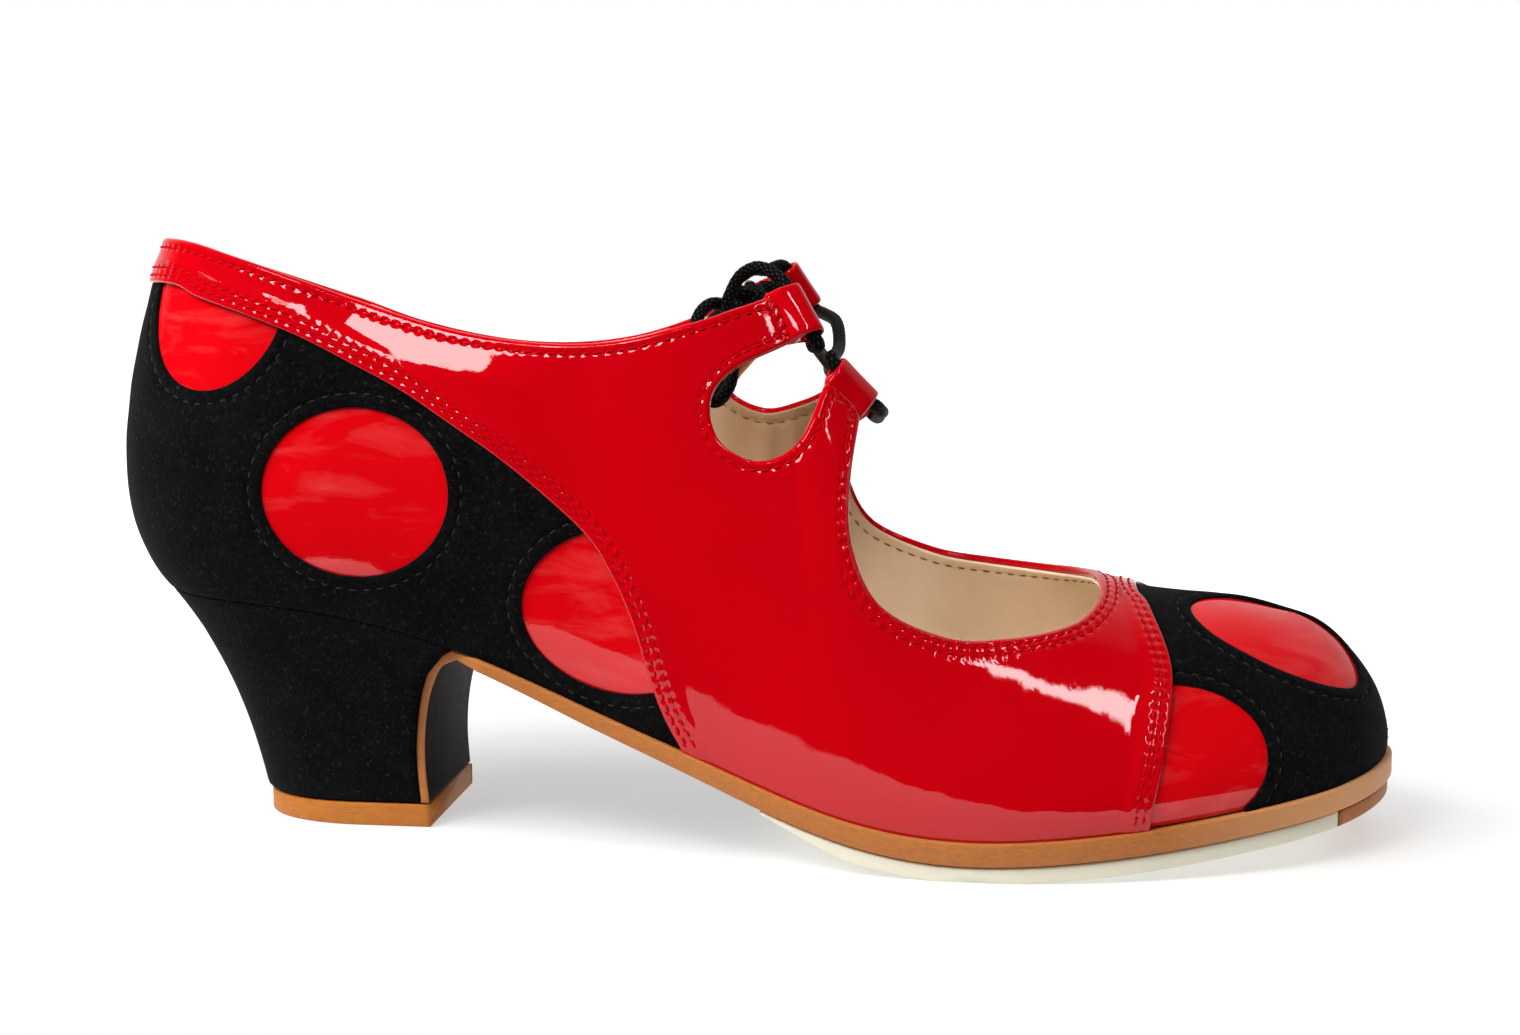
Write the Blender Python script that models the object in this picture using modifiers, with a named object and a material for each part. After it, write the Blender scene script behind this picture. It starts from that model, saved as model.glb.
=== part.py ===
"""Flamenco shoe for the right foot: a heeled shoe of patent leather and suede, laced over the instep.

The tables are in millimetres in the shoe's own frame: x runs from the back of the heel to the toe,
y from the outer side (below zero) to the inner side, z up from the floor.
"""

import math

import bmesh
import bpy
import numpy as np
from mathutils import Vector

# Driving sizes, in millimetres
MM = 0.001
SHOE_MIDDLE = (121.389, -0.998)
GAP = 0.3
WALL = 2.0
SOLE_MARGIN = 1.4
INSOLE_INSET = 2.4
INSOLE_THICKNESS = 1.8
TREAD_INSET = 0.7
HEEL_LIFT = 4.4
HEEL_HALF_WIDTH = 17.5
LOOP_RADIUS = 2.5
LOOP_WALL = 0.8
CORD_DIAMETER = 2.4
TIP_LENGTH = 9.0

# How finely the forms are sampled, and the angle that still looks round
STEPS_A_STATION = 4
STEPS_A_WALL = 12
STEPS_AN_EDGE_POINT = 5
STEPS_A_BREAST_ROW = 3
STEPS_A_ROUTE_POINT = 16
SEAT_SAMPLES = 101
INSOLE_SECTIONS = 40
WELD = 0.01
ROUND_DEGREES = 40

# From this station on, the two sides meet in one ridge
RIDGE_STATION = 7

# Stations of the last from the heel's back to the toe's tip. The foot columns are the feather line,
# the top columns the collar or the ridge of the instep. Belly and crown are how far the wall swells
# out and up from its foot and from its top.
LAST_COLUMNS = (
    "foot_x", "foot_outer", "foot_inner", "foot_z",
    "top_x", "top_outer", "top_inner", "top_z",
    "belly_out", "belly_up", "crown_out", "crown_up",
)
LAST_ROWS = (
    (8.4, 0.0, 0.0, 45.1, 10.8, 0.0, 0.0, 117.5, 12.5, 12.0, 12.5, -36.0),
    (12.4, -15.0, 15.0, 45.0, 16.0, -11.5, 11.5, 116.5, 10.0, 13.0, 12.0, -36.0),
    (27.0, -24.6, 24.4, 44.6, 30.5, -19.0, 19.0, 112.5, 6.5, 14.0, 10.0, -34.0),
    (49.0, -27.2, 26.4, 42.5, 50.5, -22.0, 22.0, 106.5, 5.0, 16.0, 8.0, -30.0),
    (72.0, -28.0, 25.8, 36.3, 72.0, -23.5, 23.5, 102.0, 4.5, 18.0, 7.0, -28.0),
    (95.0, -30.0, 25.8, 27.3, 94.0, -23.0, 24.0, 102.0, 4.0, 20.0, 7.0, -28.0),
    (118.0, -34.6, 28.8, 18.8, 112.0, -17.0, 19.0, 109.0, 4.0, 26.0, 12.0, -14.0),
    (140.0, -39.6, 34.0, 11.2, 130.0, 1.0, 1.0, 111.0, 4.5, 32.0, 22.0, 0.0),
    (160.5, -42.0, 38.5, 7.7, 151.5, 2.5, 2.5, 81.0, 5.0, 26.0, 22.0, 0.0),
    (180.0, -41.6, 40.2, 8.1, 173.5, 4.0, 4.0, 57.0, 4.5, 18.0, 22.0, 0.0),
    (198.5, -37.6, 38.6, 9.9, 194.0, 5.0, 5.0, 46.8, 4.0, 14.0, 21.0, 0.0),
    (216.5, -30.0, 33.0, 12.2, 210.0, 5.4, 5.4, 44.4, 3.0, 12.0, 17.0, -1.5),
    (233.0, -17.2, 23.4, 14.6, 220.0, 5.4, 5.4, 42.4, 2.2, 10.0, 13.0, -2.4),
    (241.3, 5.0, 5.0, 16.1, 223.0, 5.4, 5.4, 41.8, 1.6, 9.0, 11.0, -2.6),
)

# The opening's edge seen from the side along the cut. The cut is turned a little about the upright,
# and its inner end lies higher or lower than its outer end by a rise for each millimetre across.
CUT_TURN = 0.11
CUT_REACH = 70.0
CUT_TOP = 135.0
# Each row: along, height, rise
COLLAR_EDGE = (
    (-20.0, 113.0, -0.14), (9.9, 109.8, -0.14), (25.2, 105.7, -0.13), (43.6, 99.8, -0.12),
    (64.5, 93.8, -0.10), (83.2, 91.3, -0.085), (97.9, 92.3, -0.07), (112.4, 96.6, -0.045), (117.8, 99.3, 0.0),
    (125.6, 102.5, 0.057),
)
KEYHOLE_EDGE = (
    (129.9, 95.2, 0.074), (119.0, 90.5, 0.06), (114.6, 84.7, 0.05), (116.6, 77.8, 0.05),
    (123.6, 74.6, 0.05), (130.9, 77.4, 0.02), (135.8, 84.1, -0.146),
)
VAMP_EDGE = (
    (142.0, 78.2, -0.151), (140.0, 68.8, 0.0), (140.4, 60.0, 0.05), (145.4, 50.8, 0.07), (157.6, 45.2, 0.08),
    (168.8, 44.1, 0.08), (178.4, 44.4, 0.08), (183.8, 45.7, 0.08), (187.2, 48.6, 0.08), (188.6, 56.0, 0.08),
)

# Thickness of the leather sole and of the tread under it, by station of the last
SOLE_COLUMNS = ("station", "leather", "tread")
SOLE_ROWS = (
    (4.0, 2.2, 0.0), (5.0, 3.2, 0.0), (6.4, 4.0, 0.5), (7.2, 4.2, 2.9), (8.0, 4.3, 3.0),
    (10.0, 4.3, 3.0), (13.0, 4.2, 3.0),
)
OUTSOLE_START = 4.1
HALF_SOLE_STATIONS = (6.45, 11.86)
TOE_PIECE_STATIONS = (11.88, 13.0)
SOLE_STEP = 0.2

# The strip of the sole that turns down the breast of the heel
BREAST_COLUMNS = ("x", "z", "leather", "half_width")
BREAST_ROWS = (
    (68.6, 36.0, 2.0, 25.6), (65.0, 33.8, 1.8, 23.6), (62.6, 29.6, 1.7, 21.6), (61.0, 24.4, 1.6, 20.0),
    (60.0, 18.0, 1.6, 18.8), (59.8, 11.5, 1.6, 18.0), (60.3, HEEL_LIFT + GAP, 1.6, 17.5),
)

# Back corner of the heel at its foot, the sharing of its curve between straight and flared,
# and how far the lift under it stays in at the back and stands out at the front
HEEL_FOOT_BACK = 26.3
LIFT_INSET = 0.7
LIFT_REACH = 0.3
SEAT_STATION = 5
HEEL_STRAIGHT_SHARE = 0.5
HEEL_FLARE_POWER = 2.5
HEEL_ROUND_SHARE = 0.62
HEEL_ROUND_POWER = 2.2
HEEL_LEVELS = 10
HEEL_RIBS = 16

# Each lace loop runs along the end of a tab. Each row: name, upper back end, lower front end
LOOP_ROWS = (
    ("lace_loop_outer_upper", (130.0, -12.1, 102.3), (134.9, -15.8, 94.7)),
    ("lace_loop_outer_lower", (139.2, -16.1, 88.8), (145.0, -14.3, 82.5)),
    ("lace_loop_inner_upper", (126.6, 13.0, 104.5), (130.9, 15.1, 97.6)),
    ("lace_loop_inner_lower", (135.5, 22.7, 82.5), (141.4, 23.7, 76.2)),
)
LOOP_SIDES = 14

# The lace from one side of the knot through the four loops to the other side of the knot
LACE_ROUTE = (
    (119.1, 1.2, 103.8), (121.0, 4.5, 105.0), (123.2, 8.3, 104.7), (125.3, 11.8, 105.3), (126.6, 13.0, 104.5),
    (128.7, 14.0, 101.1), (130.9, 15.1, 97.6),
    (132.3, 14.4, 96.5), (133.9, 11.4, 96.2), (136.5, 6.0, 95.5), (137.8, 1.0, 93.9), (138.5, -5.0, 91.4),
    (138.4, -11.5, 90.5), (138.2, -15.1, 90.5), (139.2, -16.1, 88.8), (142.1, -15.2, 85.7), (145.0, -14.3, 82.5),
    (146.5, -12.3, 81.1), (146.8, -8.6, 79.8), (146.2, 0.0, 78.8), (145.0, 10.0, 77.6), (143.8, 18.5, 75.6),
    (142.8, 22.6, 75.2), (141.4, 23.7, 76.2), (138.4, 23.2, 79.4), (135.5, 22.7, 82.5),
    (134.3, 21.6, 83.7), (134.2, 18.4, 84.7), (134.6, 13.0, 86.4), (133.9, 2.0, 90.1), (133.8, -8.0, 93.0),
    (134.5, -12.6, 92.2), (135.9, -15.7, 92.7), (134.9, -15.8, 94.7), (132.4, -13.9, 98.5), (130.0, -12.1, 102.3),
    (128.7, -11.1, 104.2), (127.2, -10.3, 105.1), (125.5, -9.0, 106.0), (123.0, -7.5, 106.2), (120.1, -6.2, 104.5),
    (118.2, -5.8, 101.2), (117.6, -5.5, 99.2), (118.2, -4.4, 97.6),
)

# The bow: a knot, two loops that hang into the shoe, and two ends with metal tips.
# Each row: name, for an end the name of its tip, and the route
KNOT_PLACE = (120.5, 0.0, 99.5)
KNOT_RADII = (4.0, 3.2, 3.2)
KNOT_SEGMENTS = 16
KNOT_RINGS = 10
BOW_ROWS = (
    ("lace_bow_outer", (
        (116.8, -1.9, 98.9), (114.0, -4.6, 99.0), (112.2, -7.8, 96.4), (112.0, -11.4, 90.8),
        (113.6, -13.4, 84.8), (116.4, -14.0, 81.8), (119.0, -12.6, 84.8), (119.6, -8.6, 91.2),
        (120.3, -2.9, 96.7),
    )),
    ("lace_bow_inner", (
        (118.2, 3.0, 98.3), (113.2, 7.8, 95.4), (109.6, 12.4, 90.6), (109.8, 16.0, 85.0), (112.6, 17.2, 82.8),
        (116.2, 15.0, 86.2), (119.4, 9.8, 91.4), (121.0, 3.2, 96.6),
    )),
)
END_ROWS = (
    ("lace_end_outer", "lace_tip_outer", (
        (124.4, -2.4, 98.0), (126.2, -3.6, 95.6), (125.4, -5.6, 93.4), (122.6, -6.0, 91.8), (119.0, -4.6, 90.8),
        (115.6, -2.6, 89.4), (113.5, -1.2, 86.8), (113.6, -2.8, 83.6), (115.6, -4.6, 83.0), (118.3, -6.0, 85.8),
    )),
    ("lace_end_inner", "lace_tip_inner", (
        (122.6, 3.4, 101.8), (126.0, 5.4, 101.4), (127.4, 9.2, 98.0), (125.0, 12.6, 94.8),
        (120.0, 14.1, 92.2), (116.6, 12.4, 91.5), (115.8, 9.9, 92.9), (116.9, 8.6, 95.1),
    )),
)
CORD_STEP = 2.6
CORD_BEVEL_RESOLUTION = 2


# Curves and the form of the last

def spline_seconds(values, flat_ends):
    """Second differences of a smooth curve through evenly numbered values."""
    count = len(values)
    matrix = np.zeros((count, count))
    right = np.zeros(count)
    for i in range(1, count - 1):
        matrix[i, i - 1:i + 2] = (1, 4, 1)
        right[i] = 6 * (values[i + 1] - 2 * values[i] + values[i - 1])
    if flat_ends:
        matrix[0, :2] = (2, 1)
        right[0] = 6 * (values[1] - values[0])
        matrix[-1, -2:] = (1, 2)
        right[-1] = 6 * (values[-2] - values[-1])
    else:
        matrix[0, 0] = matrix[-1, -1] = 1
    return np.linalg.solve(matrix, right)


class Last:
    """The form that the upper is closed over, by side (-1 outer, 1 inner), station and share of the wall."""

    def __init__(self):
        columns = dict(zip(LAST_COLUMNS, np.array(LAST_ROWS).T))
        self.end = len(LAST_ROWS) - 1
        self.curves = {}
        for side, word in ((-1, "outer"), (1, "inner")):
            for name, values in columns.items():
                across = name.endswith(word)
                if name.endswith(("outer", "inner")) and not across:
                    continue
                key = name.replace(word, "y")
                self.curves[side, key] = (values, spline_seconds(values, flat_ends=not across))

    def value(self, side, name, station):
        values, seconds = self.curves[side, name]
        i = min(int(station), self.end - 1)
        after = station - i
        before = 1 - after
        bend = (before ** 3 - before) * seconds[i] + (after ** 3 - after) * seconds[i + 1]
        return before * values[i] + after * values[i + 1] + bend / 6

    def foot(self, side, station):
        return np.array([self.value(side, "foot_" + axis, station) for axis in "xyz"])

    def top(self, side, station):
        point = np.array([self.value(side, "top_" + axis, station) for axis in "xyz"])
        if station >= RIDGE_STATION:
            point[1] = (point[1] + self.value(-side, "top_y", station)) / 2
        return point

    def outward(self, side, station):
        """The level direction that points out of the shoe, square to its feather line."""
        step = 0.001
        ahead = self.foot(side, min(station + step, self.end))
        behind = self.foot(side, max(station - step, 0))
        along = (ahead - behind) / np.linalg.norm((ahead - behind)[:2])
        return np.array([-side * along[1], side * along[0], 0.0])

    def wall(self, side, station, share):
        """A point of the wall: share 0 is the feather line, 1 the top."""
        out = self.outward(side, station)
        foot = self.foot(side, station)
        top = self.top(side, station)
        lift = {name: self.value(side, name, station) for name in LAST_COLUMNS[8:]}
        belly = foot + out * lift["belly_out"] + np.array([0, 0, lift["belly_up"]])
        crown = top + out * lift["crown_out"] + np.array([0, 0, lift["crown_up"]])
        rest = 1 - share
        lower = rest ** 3 * foot + 3 * rest ** 2 * share * belly
        return lower + 3 * rest * share ** 2 * crown + share ** 3 * top


def smooth_curve(points, steps):
    """Points along a rounded curve through the given ones, with even steps between each two."""
    points = np.array(points, float)
    ends = np.vstack([2 * points[0] - points[1], points, 2 * points[-1] - points[-2]])
    found = []
    for a, b, c, d in zip(ends, ends[1:], ends[2:], ends[3:]):
        for u in np.arange(steps) / steps:
            cubic = (2 * b, c - a, 2 * a - 5 * b + 4 * c - d, 3 * b - a - 3 * c + d)
            found.append(sum(term * u ** power for power, term in enumerate(cubic)) / 2)
    found.append(points[-1])
    return np.array(found)


def even_curve(points, step):
    """A smooth curve through the points, read off at even distances near the step."""
    fine = smooth_curve(points, STEPS_A_ROUTE_POINT)
    length = np.concatenate([[0], np.cumsum(np.linalg.norm(np.diff(fine, axis=0), axis=1))])
    places = np.linspace(0, length[-1], round(length[-1] / step) + 1)
    return np.stack([np.interp(places, length, fine[:, axis]) for axis in range(3)], axis=1)


def sole_thickness(name, station):
    columns = dict(zip(SOLE_COLUMNS, np.array(SOLE_ROWS).T))
    return np.interp(station, columns["station"], columns[name])


# Making objects

def in_metres(points):
    shift = np.array([*SHOE_MIDDLE, 0.0])
    return [Vector((np.asarray(point) - shift) * MM) for point in points]


def material(name, colour, roughness, metallic=0.0):
    made = bpy.data.materials.new(name)
    made.use_nodes = True
    shader = made.node_tree.nodes["Principled BSDF"]
    shader.inputs["Base Color"].default_value = (*colour, 1.0)
    shader.inputs["Roughness"].default_value = roughness
    shader.inputs["Metallic"].default_value = metallic
    made.diffuse_color = (*colour, 1.0)
    return made


def add_object(name, data, collection, look=None):
    made = bpy.data.objects.new(name, data)
    collection.objects.link(made)
    if look:
        data.materials.append(material(name + "_look", *look))
    return made


def add_mesh(name, points, faces, collection, look=None):
    """A mesh object with equal points made one and its faces turned outwards."""
    data = bpy.data.meshes.new(name)
    data.from_pydata(in_metres(points), [], faces)
    shape = bmesh.new()
    shape.from_mesh(data)
    bmesh.ops.remove_doubles(shape, verts=shape.verts, dist=WELD * MM)
    bmesh.ops.recalc_face_normals(shape, faces=shape.faces)
    shape.to_mesh(data)
    shape.free()
    data.shade_smooth()
    data.set_sharp_from_angle(angle=math.radians(ROUND_DEGREES))
    return add_object(name, data, collection, look)


def add_loft(name, sections, collection, look=None):
    """A closed solid through sections that run down the outer side and up the inner side."""
    count = len(sections[0])
    points = [point for section in sections for point in section]
    faces = []
    for i in range(len(sections) - 1):
        for j in range(count):
            k = (j + 1) % count
            faces.append((i * count + j, i * count + k, (i + 1) * count + k, (i + 1) * count + j))
    for first in (0, (len(sections) - 1) * count):
        for j in range(count // 2 - 1):
            faces.append((first + j, first + j + 1, first + count - 2 - j, first + count - 1 - j))
    return add_mesh(name, points, faces, collection, look)


def add_cord(name, points, radius, collection, look):
    data = bpy.data.curves.new(name, "CURVE")
    data.dimensions = "3D"
    data.bevel_depth = radius * MM
    data.bevel_resolution = CORD_BEVEL_RESOLUTION
    data.use_fill_caps = True
    spline = data.splines.new("POLY")
    spline.points.add(len(points) - 1)
    for place, point in zip(spline.points, in_metres(points)):
        place.co = (*point, 1.0)
    return add_object(name, data, collection, look)


# The pieces

RED_PATENT = ((0.62, 0.003, 0.008), 0.12)
BLACK_SUEDE = ((0.008, 0.008, 0.009), 0.95)
TAN_LEATHER = ((0.45, 0.20, 0.055), 0.5)
CREAM_RUBBER = ((0.72, 0.69, 0.56), 0.6)
BEIGE_LINING = ((0.52, 0.37, 0.22), 0.6)
BLACK_CORD = ((0.006, 0.006, 0.006), 0.7)
COPPER_TIP = ((0.48, 0.22, 0.12), 0.35, 0.8)


def opening_cutter(collection):
    """A block between the outer and the inner edge of the opening, from the collar to the vamp."""
    edges = (COLLAR_EDGE, KEYHOLE_EDGE, VAMP_EDGE)
    outline = np.vstack([smooth_curve(edge, STEPS_AN_EDGE_POINT) for edge in edges])
    above = [(outline[-1, 0], CUT_TOP, 0.0), (outline[0, 0], CUT_TOP, 0.0)]
    outline = np.vstack([outline, above])
    count = len(outline)
    points = []
    for across in (-CUT_REACH, CUT_REACH):
        points += [(a - across * CUT_TURN, across, h + across * rise) for a, h, rise in outline]
    faces = [tuple(range(count)), tuple(range(count, 2 * count))]
    for i in range(count):
        k = (i + 1) % count
        faces.append((i, k, count + k, count + i))
    cutter = add_mesh("opening_cutter", points, faces, collection)
    shape = bmesh.new()
    shape.from_mesh(cutter.data)
    bmesh.ops.triangulate(shape, faces=shape.faces)
    shape.to_mesh(cutter.data)
    shape.free()
    cutter.hide_render = True
    cutter.display_type = "WIRE"
    return cutter


def make_upper(last, parts, cutters):
    """The wall over the last, open underneath, cut out at the collar, the keyholes and the vamp."""
    stations = np.linspace(0, last.end, last.end * STEPS_A_STATION + 1)
    shares = np.linspace(0, 1, STEPS_A_WALL + 1)
    points = []
    faces = []
    for side in (-1, 1):
        start = len(points)
        points += [last.wall(side, station, share) for station in stations for share in shares]
        for i in range(len(stations) - 1):
            for j in range(STEPS_A_WALL):
                a = start + i * len(shares) + j
                b = a + len(shares)
                faces.append((a, b, b + 1, a + 1) if side < 0 else (a, a + 1, b + 1, b))
    upper = add_mesh("upper", points, faces, parts, RED_PATENT)
    shell = upper.modifiers.new("wall", "SOLIDIFY")
    shell.thickness = WALL * MM
    shell.offset = -1
    shell.use_even_offset = True
    cut = upper.modifiers.new("opening", "BOOLEAN")
    cut.operation = "DIFFERENCE"
    cut.solver = "EXACT"
    cut.object = opening_cutter(cutters)
    return upper


def sole_edge(last, side, station, margin):
    return last.foot(side, station) + last.outward(side, station) * margin


def layer_section(last, station, margin, above, thickness):
    """Four corners across the sole: a layer whose top lies so far above the feather line."""
    outer = sole_edge(last, -1, station, margin)
    inner = sole_edge(last, 1, station, margin)
    top = np.array([0, 0, above])
    down = np.array([0, 0, thickness])
    return [outer + top, outer + top - down, inner + top - down, inner + top]


def breast_sections():
    """The strip down the breast, each section square to the strip."""
    path = smooth_curve(BREAST_ROWS, STEPS_A_BREAST_ROW)
    sections = []
    for i, (x, z, leather, half_width) in enumerate(path):
        ahead = path[min(i + 1, len(path) - 1)]
        behind = path[max(i - 1, 0)]
        along = np.array([ahead[0] - behind[0], ahead[1] - behind[1]])
        along /= np.linalg.norm(along)
        out = np.array([-along[1], 0.0, along[0]]) * leather
        outer = np.array([x, -half_width, z])
        inner = np.array([x, half_width, z])
        sections.append([outer, outer + out, inner + out, inner])
    return sections


def make_outsole(last, parts):
    """Tan leather from the toe through the waist and down the breast of the heel."""
    count = round((last.end - OUTSOLE_START) / SOLE_STEP)
    sections = []
    for station in np.linspace(last.end, OUTSOLE_START, count + 1):
        leather = sole_thickness("leather", station)
        sections.append(layer_section(last, station, SOLE_MARGIN, -GAP, leather))
    return add_loft("outsole", sections + breast_sections(), parts, TAN_LEATHER)


def tread_section(last, station):
    """A section of the layer under the leather, flat on the floor where it would reach below it."""
    leather = sole_thickness("leather", station)
    tread = sole_thickness("tread", station)
    section = layer_section(last, station, SOLE_MARGIN - TREAD_INSET, -2 * GAP - leather, tread)
    for corner in section[1:3]:
        corner[2] = max(corner[2], 0.0)
    return section


def make_tread(last, name, span, parts, look):
    count = round((span[1] - span[0]) / SOLE_STEP)
    stations = np.linspace(*span, count + 1)
    return add_loft(name, [tread_section(last, station) for station in stations], parts, look)


def make_insole(last, parts):
    sections = []
    for station in np.linspace(0, last.end, INSOLE_SECTIONS):
        sections.append(layer_section(last, station, -INSOLE_INSET, INSOLE_THICKNESS, INSOLE_THICKNESS))
    return add_loft("insole", sections, parts, BEIGE_LINING)


def heel_outline(share):
    """Half width of the heel's D shape, from its round back (0) to its flat breast (1)."""
    if share >= HEEL_ROUND_SHARE:
        return 1.0
    return (1 - (1 - share / HEEL_ROUND_SHARE) ** HEEL_ROUND_POWER) ** (1 / HEEL_ROUND_POWER)


def heel_shares():
    """Places of the ribs from back to breast, closer together round the back."""
    return 1 - np.cos(np.linspace(0, math.pi / 2, HEEL_RIBS))


def heel_flare(level):
    return HEEL_STRAIGHT_SHARE * level + (1 - HEEL_STRAIGHT_SHARE) * level ** HEEL_FLARE_POWER


def breast_front(height):
    """How far forward the heel block reaches at a height, just behind the strip of the sole."""
    path = smooth_curve(BREAST_ROWS, STEPS_A_BREAST_ROW)
    return np.interp(height, path[::-1, 1], path[::-1, 0]) - GAP


def seat_at(last, side, x):
    """The feather line's point over the heel at a place along the shoe."""
    stations = np.linspace(0, SEAT_STATION, SEAT_SAMPLES)
    reach = [last.value(side, "foot_x", station) for station in stations]
    return last.foot(side, np.interp(x, reach, stations))


def heel_section(last, share):
    """One rib of the heel block, down its outer side and up its inner side."""
    foot_z = HEEL_LIFT + GAP
    seat_back = last.value(-1, "foot_x", 0)
    seat_x = seat_back + (BREAST_ROWS[0][0] - seat_back) * share
    section = []
    for side, levels in ((-1, np.linspace(1, 0, HEEL_LEVELS)), (1, np.linspace(0, 1, HEEL_LEVELS))):
        seat = seat_at(last, side, seat_x)
        for level in levels:
            flare = heel_flare(level)
            z = foot_z + level * (seat[2] - GAP - foot_z)
            back = HEEL_FOOT_BACK + (seat_back - HEEL_FOOT_BACK) * flare
            x = back + (breast_front(z) - back) * share
            foot_y = side * HEEL_HALF_WIDTH * heel_outline(share)
            section.append(np.array([x, foot_y + (seat[1] - foot_y) * flare, z]))
    return section


def make_heel(last, parts):
    sections = [heel_section(last, share) for share in heel_shares()]
    return add_loft("heel_block", sections, parts, BLACK_SUEDE)


def make_heel_top_piece(parts):
    """The lift under the heel block and the end of the breast strip."""
    breast_end = dict(zip(BREAST_COLUMNS, BREAST_ROWS[-1]))
    back = HEEL_FOOT_BACK + LIFT_INSET
    front = breast_end["x"] + breast_end["leather"] + LIFT_REACH
    sections = []
    for share in heel_shares():
        x = back + (front - back) * share
        y = HEEL_HALF_WIDTH * heel_outline(share)
        sections.append([(x, -y, HEEL_LIFT), (x, -y, 0.0), (x, y, 0.0), (x, y, HEEL_LIFT)])
    return add_loft("heel_top_piece", sections, parts, TAN_LEATHER)


def make_lace_loop(name, back_end, front_end, parts):
    """A folded tab end: a short leather tube that the lace runs through."""
    axis = Vector(front_end) - Vector(back_end)
    turn = axis.to_track_quat("Z", "Y")
    points = []
    for end in (back_end, front_end):
        for i in range(LOOP_SIDES):
            angle = 2 * math.pi * i / LOOP_SIDES
            spoke = Vector((math.cos(angle), math.sin(angle), 0)) * LOOP_RADIUS
            points.append(Vector(end) + turn @ spoke)
    faces = []
    for i in range(LOOP_SIDES):
        k = (i + 1) % LOOP_SIDES
        faces.append((i, k, LOOP_SIDES + k, LOOP_SIDES + i))
    loop = add_mesh(name, points, faces, parts, RED_PATENT)
    shell = loop.modifiers.new("wall", "SOLIDIFY")
    shell.thickness = LOOP_WALL * MM
    shell.offset = -1
    return loop


def make_knot(parts):
    data = bpy.data.meshes.new("lace_knot")
    shape = bmesh.new()
    bmesh.ops.create_uvsphere(shape, u_segments=KNOT_SEGMENTS, v_segments=KNOT_RINGS, radius=MM)
    bmesh.ops.scale(shape, vec=KNOT_RADII, verts=shape.verts)
    shape.to_mesh(data)
    shape.free()
    data.shade_smooth()
    knot = add_object("lace_knot", data, parts, BLACK_CORD)
    knot.location = in_metres([KNOT_PLACE])[0]
    return knot


def make_lace(parts):
    radius = CORD_DIAMETER / 2
    add_cord("lace", even_curve(LACE_ROUTE, CORD_STEP), radius, parts, BLACK_CORD)
    make_knot(parts)
    for name, route in BOW_ROWS:
        add_cord(name, even_curve(route, CORD_STEP), radius, parts, BLACK_CORD)
    for name, tip_name, route in END_ROWS:
        points = even_curve(route, CORD_STEP)
        add_cord(name, points, radius, parts, BLACK_CORD)
        along = (points[-1] - points[-2]) / np.linalg.norm(points[-1] - points[-2])
        tip_start = points[-1] + along * GAP
        add_cord(tip_name, [tip_start, tip_start + along * TIP_LENGTH], radius, parts, COPPER_TIP)


def clear_scene():
    for item in list(bpy.data.objects):
        bpy.data.objects.remove(item, do_unlink=True)


def main():
    clear_scene()
    parts = bpy.data.collections.new("flamenco_shoe")
    cutters = bpy.data.collections.new("cutters")
    for collection in (parts, cutters):
        bpy.context.scene.collection.children.link(collection)
    last = Last()
    make_upper(last, parts, cutters)
    make_outsole(last, parts)
    make_tread(last, "half_sole", HALF_SOLE_STATIONS, parts, CREAM_RUBBER)
    make_tread(last, "toe_piece", TOE_PIECE_STATIONS, parts, TAN_LEATHER)
    make_insole(last, parts)
    make_heel(last, parts)
    make_heel_top_piece(parts)
    for name, back_end, front_end in LOOP_ROWS:
        make_lace_loop(name, back_end, front_end, parts)
    make_lace(parts)


main()
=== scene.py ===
"""Looks of a flamenco shoe: patent leather, suede, lining, sole, covered heel and lace.

The tables are in millimetres in the shoe's own frame, as in the part's source: x runs from the back of
the heel to the toe, y from the outer side (below zero) to the inner side, z up from the floor.
"""

import functools
import math

import bmesh
import bpy
import numpy as np
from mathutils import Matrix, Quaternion, Vector
from mathutils.kdtree import KDTree


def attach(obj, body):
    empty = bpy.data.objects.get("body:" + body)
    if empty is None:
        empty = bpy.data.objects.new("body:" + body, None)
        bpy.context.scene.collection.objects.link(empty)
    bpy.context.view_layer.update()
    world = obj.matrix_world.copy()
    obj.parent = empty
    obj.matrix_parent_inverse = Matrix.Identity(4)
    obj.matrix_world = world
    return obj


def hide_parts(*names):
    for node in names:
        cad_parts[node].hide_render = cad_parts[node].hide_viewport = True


bl_info = {
    "name": "Flamenco shoe looks",
    "version": (1, 0, 0),
    "blender": (4, 5, 0),
    "location": "View3D > Sidebar > Shoe",
    "description": "Makes the leathers, stitches, sole, heel and lace of a flamenco shoe",
    "category": "Object",
}

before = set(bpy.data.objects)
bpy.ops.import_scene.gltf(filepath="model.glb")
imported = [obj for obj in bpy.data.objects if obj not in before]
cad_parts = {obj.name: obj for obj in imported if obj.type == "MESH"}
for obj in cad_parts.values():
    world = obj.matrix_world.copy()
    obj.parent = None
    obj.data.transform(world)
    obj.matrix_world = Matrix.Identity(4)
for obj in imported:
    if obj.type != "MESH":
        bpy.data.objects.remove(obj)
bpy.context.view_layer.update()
BODY = "root"

# Sizes shared with the solid model, in millimetres
MM = 0.001
SHOE_MIDDLE = (121.389, -0.998)
GAP = 0.3
SOLE_MARGIN = 1.4
TREAD_INSET = 0.7
HEEL_LIFT = 4.4
HEEL_HALF_WIDTH = 17.5
TIP_LENGTH = 9.0

# From this station on, the two sides of the last meet in one ridge
RIDGE_STATION = 7

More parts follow.
